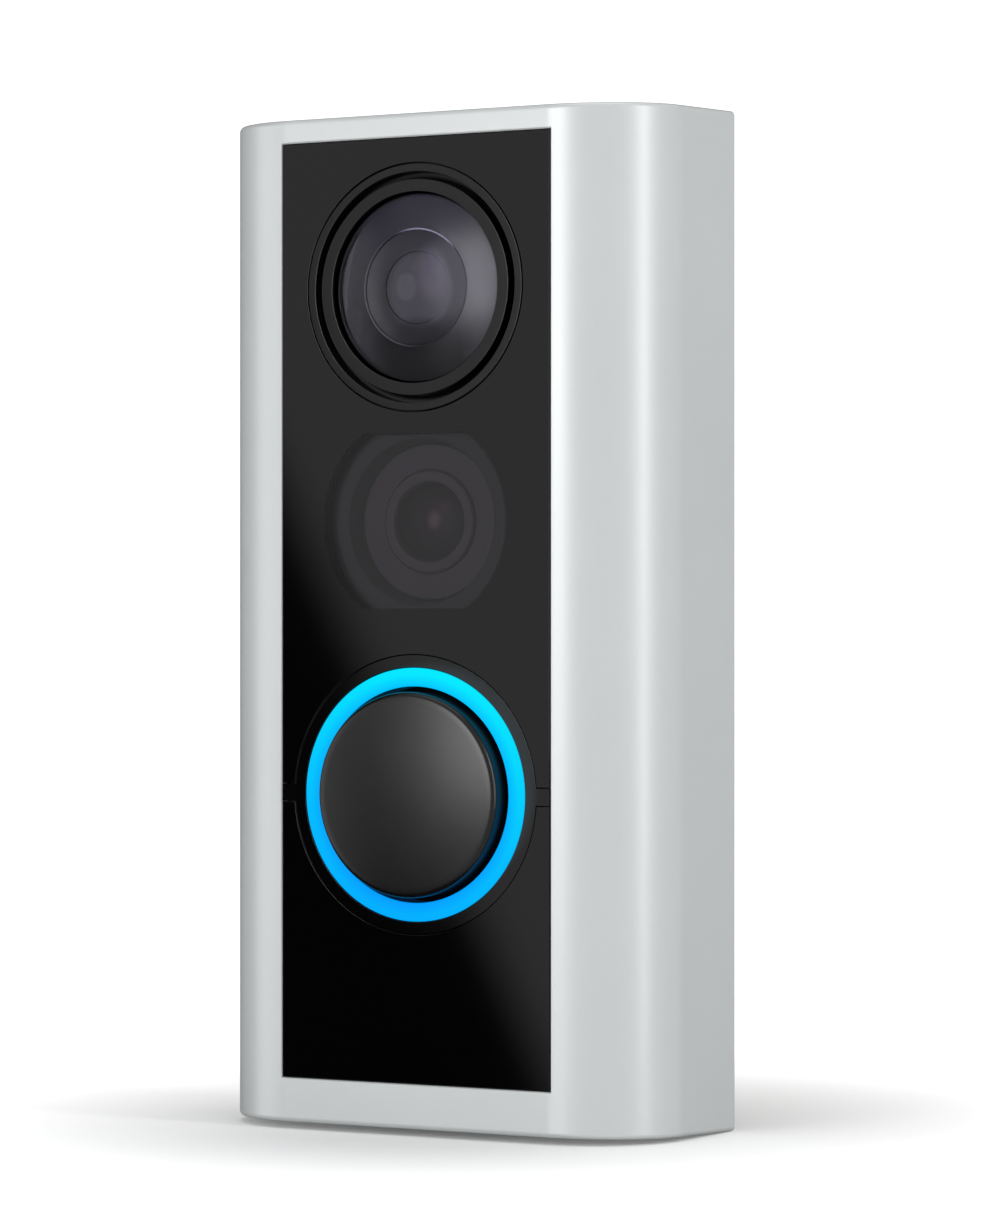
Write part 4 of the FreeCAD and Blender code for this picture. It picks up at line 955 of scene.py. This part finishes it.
def makeCameraLens():
    radius, apex, rise, back = (cameraLens[k] for k in ("radius", "apex", "rise", "back"))
    lens = turnedShape([
        (0, apex), (radius, apex + rise, 0.05, domeBulge(radius, rise)), (radius, back), (0, back),
    ], steps=80, closed=False, z=windowLook["camera"])
    finishPiece("cameraLens", lens, cameraPaintedReflections, ["camera_front_lens"])


makeCameraLens()


# door tube with its thread, and what is on the back

tubeLook = {
    "outer": 6.5, "root": 5.95, "bore": 5.3, "pitch": 1.0, "end": 30.6, "steps": 56,
    "flange": 9.9, "flangeFront": -5.1, "flangeBack": -3.4, "shoulder": 6.7, "crest": (0.44, 0.56),
    "threadStart": 0.3,
}

tubeMetal = makeFinish("tubeMetal", {
    "colour": (0.55, 0.56, 0.57, 1), "second": (0.63, 0.64, 0.65, 1), "rough": (0.22, 0.36),
    "metallic": 1.0, "patches": 500, "grain": 4000, "bump": 0.12, "stretch": (1, 6, 1),
})


def makeTube():
    look = tubeLook
    bore, root, end, flange = look["bore"], look["root"], look["end"], look["flange"]
    front, back, shoulder = look["flangeFront"], look["flangeBack"], look["shoulder"]
    wall = turnedShape([
        (bore, front), (flange, front, 0.15), (flange, back, 0.15), (shoulder, back),
        (shoulder, 0.0, 0.1), (root, 0.25), (root, end - 0.05, 0.12), (bore, end, 0.1),
    ], steps=96)
    # the thread: a ridge sunk a little into the wall and swept up round it
    ridge = bmesh.new()
    pitch, start, sunk = look["pitch"], look["threadStart"], root - 0.06
    first = ridge.verts.new((sunk, start, 0))
    crest = [ridge.verts.new((look["outer"], start + pitch * k, 0)) for k in look["crest"]]
    last = ridge.verts.new((sunk, start + pitch, 0))
    ridge.faces.new((first, *crest, last))
    turns = int((end - 1.4) / pitch)
    bmesh.ops.spin(
        ridge, geom=ridge.faces[:] + ridge.edges[:] + ridge.verts[:], cent=(0, 0, 0), axis=(0, 1, 0),
        dvec=(0, pitch / look["steps"], 0), angle=2 * math.pi * turns, steps=turns * look["steps"],
        use_duplicate=False,
    )
    bmesh.ops.recalc_face_normals(ridge, faces=ridge.faces)
    finishPiece("doorTube", joined(wall, ridge), tubeMetal, ["door_tube"], sharp=40)


makeTube()

screwLook = {
    "places": ((-18.4, 11.6), (18.4, 11.6), (-18.4, -74.6), (18.4, -74.6)),
    "head": 1.9, "shank": 1.0, "top": -1.65, "crown": 0.3, "under": -2.75, "end": -6.0,
    "crossHalf": 1.05, "crossWide": 0.2, "crossDepth": -2.2,
}

screwSteel = makeFinish("screwSteel", {
    "colour": (0.42, 0.42, 0.43, 1), "second": (0.5, 0.5, 0.51, 1), "rough": (0.22, 0.34),
    "metallic": 1.0, "patches": 900, "grain": 6000, "bump": 0.08,
})


def makeScrews():
    look = screwLook
    head, shank, top, crown = look["head"], look["shank"], look["top"], look["crown"]
    under, end, depth = look["under"], look["end"], look["crossDepth"]
    long, thin = look["crossHalf"], look["crossWide"]
    profile = [
        (0, top), (head, top - crown, 0, -domeBulge(head, crown)), (head, under, 0.05),
        (shank, under), (shank, end), (0, end),
    ]
    screws = []
    for x, z in look["places"]:
        across = blockShape(-long, long, depth, -1.0, -thin, thin)
        upright = blockShape(-thin, thin, depth, -1.0, -long, long)
        screw = carved(
            turnedShape(profile, steps=40, closed=False), carved(across, upright, "UNION")
        )
        turn = Matrix.Rotation(x * 0.3 + z * 0.11, 3, "Y")
        bmesh.ops.rotate(screw, cent=(0, 0, 0), matrix=turn, verts=screw.verts)
        bmesh.ops.translate(screw, vec=(x, 0, z), verts=screw.verts)
        screws.append(screw)
    finishPiece("caseScrews", joined(*screws), screwSteel, ["case_screws"])


makeScrews()

sealLook = {
    "inner": 6.85, "outer": 12.0, "front": -1.5,
    "padHalf": 16, "padFront": -1.8, "padTop": -20, "padBottom": -68, "padCorner": 2.0,
}

foamGrey = makeFinish("foamGrey", {
    "colour": (0.035, 0.035, 0.037, 1), "second": (0.06, 0.06, 0.062, 1), "rough": (0.8, 0.95),
    "cells": True, "grain": 2600, "bump": 0.8, "relief": 0.00012, "patches": 700,
})
linerFilm = makeFinish("linerFilm", {
    "colour": (0.62, 0.60, 0.53, 1), "second": (0.70, 0.68, 0.62, 1), "rough": (0.35, 0.5),
    "patches": 160, "grain": 3000, "bump": 0.2, "relief": 0.00004,
})


def makeSealAndPad():
    look = sealLook
    inner, outer, front = look["inner"], look["outer"], look["front"]
    seal = turnedShape([
        (inner, front, 0.1), (outer, front, 0.1), (outer, 0, 0.25), (inner, 0, 0.25),
    ], steps=96)
    finishPiece("tubeSeal", seal, foamGrey, ["tube_seal"])
    half = look["padHalf"]
    pad = blockShape(-half, half, look["padFront"], 0, look["padBottom"], look["padTop"])
    roundEdges(pad, lambda e: alongAxis(e, 1), look["padCorner"], 8)
    finishPiece("stickyPad", pad, linerFilm, ["adhesive_pad"], edge=0.12)


makeSealAndPad()


# everything else keeps its designed shape and takes a finish by its slot

slotLooks = {
    "camera_black": {"colour": (0.034, 0.033, 0.040, 1), "second": (0.044, 0.043, 0.052, 1),
                     "rough": (0.45, 0.6), "grain": 6000, "bump": 0.15},
    "camera_ring": {"colour": (0.15, 0.14, 0.135, 1), "second": (0.20, 0.18, 0.17, 1),
                    "rough": (0.4, 0.5), "grain": 6000, "bump": 0.1},
    "clear_plastic": {"colour": (0.10, 0.10, 0.11, 1), "second": (0.14, 0.14, 0.15, 1),
                      "rough": (0.3, 0.4), "grain": 3000, "bump": 0.1},
    "frame_plastic": {"colour": (0.004, 0.004, 0.0045, 1), "second": (0.007, 0.007, 0.0075, 1),
                      "rough": (0.5, 0.65), "grain": 5000, "bump": 0.2},
    "back_plastic": {"colour": (0.055, 0.056, 0.058, 1), "second": (0.07, 0.071, 0.073, 1),
                     "rough": (0.45, 0.6), "grain": 3200, "bump": 0.45, "relief": 0.00004},
    "tube_metal": {"colour": (0.55, 0.56, 0.57, 1), "second": (0.63, 0.64, 0.65, 1),
                   "rough": (0.22, 0.36), "metallic": 1.0, "grain": 4000, "bump": 0.12},
    "screw_steel": {"colour": (0.42, 0.42, 0.43, 1), "second": (0.5, 0.5, 0.51, 1),
                    "rough": (0.22, 0.34), "metallic": 1.0, "grain": 6000, "bump": 0.08},
    "foam": {"colour": (0.035, 0.035, 0.037, 1), "second": (0.06, 0.06, 0.062, 1),
             "rough": (0.8, 0.95), "cells": True, "grain": 2600, "bump": 0.8, "relief": 0.00012},
    "rubber_black": {"colour": (0.004, 0.004, 0.004, 1), "second": (0.008, 0.008, 0.008, 1),
                     "rough": (0.6, 0.75), "grain": 3000, "bump": 0.3},
    "adhesive": {"colour": (0.62, 0.60, 0.53, 1), "second": (0.70, 0.68, 0.62, 1),
                 "rough": (0.35, 0.5), "grain": 3000, "bump": 0.2},
    "board_mask": {"colour": (0.005, 0.075, 0.035, 1), "second": (0.01, 0.14, 0.06, 1),
                   "rough": (0.25, 0.4), "patches": 1200, "grain": 2500, "bump": 0.3},
    "chip_black": {"colour": (0.012, 0.012, 0.013, 1), "second": (0.025, 0.025, 0.026, 1),
                   "rough": (0.45, 0.6), "grain": 9000, "bump": 0.3},
    "led_white": {"colour": (0.72, 0.70, 0.58, 1), "second": (0.80, 0.79, 0.70, 1),
                  "rough": (0.3, 0.4), "grain": 6000, "bump": 0.1},
    "tin_plate": {"colour": (0.55, 0.55, 0.54, 1), "second": (0.65, 0.65, 0.64, 1),
                  "rough": (0.25, 0.4), "metallic": 1.0, "grain": 3000, "bump": 0.1},
    "cable_amber": {"colour": (0.42, 0.16, 0.02, 1), "second": (0.50, 0.21, 0.03, 1),
                    "rough": (0.25, 0.35), "grain": 3000, "bump": 0.1, "coat": 0.4,
                    "stretch": (12, 0.4, 1), "patches": 300},
    "socket_ivory": {"colour": (0.66, 0.62, 0.5, 1), "second": (0.72, 0.69, 0.58, 1),
                     "rough": (0.35, 0.5), "grain": 5000, "bump": 0.15},
    "sensor_glass": {"colour": (0.02, 0.018, 0.03, 1), "second": (0.03, 0.025, 0.045, 1),
                     "rough": (0.05, 0.1), "grain": 5000, "bump": 0.02, "coat": 1.0},
    "lens_glass": {"colour": (0.03, 0.026, 0.036, 1), "second": (0.04, 0.034, 0.048, 1),
                   "rough": (0.2, 0.3), "grain": 3000, "bump": 0.003, "relief": 0.000002},
    "milky_plastic": {"colour": (0.62, 0.62, 0.60, 1), "second": (0.70, 0.70, 0.68, 1),
                      "rough": (0.35, 0.45), "grain": 5000, "bump": 0.1},
    "cone_paper": {"colour": (0.03, 0.03, 0.028, 1), "second": (0.06, 0.058, 0.052, 1),
                   "rough": (0.75, 0.9), "grain": 1800, "bump": 0.5},
}


def dressNodes():
    shown = 0
    finishes = {}
    for name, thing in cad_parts.items():
        for holder in thing.material_slots:
            slotName = holder.material.name.split(".")[0]
            look = slotLooks.get(slotName)
            if look is None:
                continue
            if slotName not in finishes:
                finishes[slotName] = makeFinish(slotName + "Finish", look)
            holder.material = finishes[slotName]
            shown += 1
    print("dressed", shown, "designed nodes")


dressNodes()
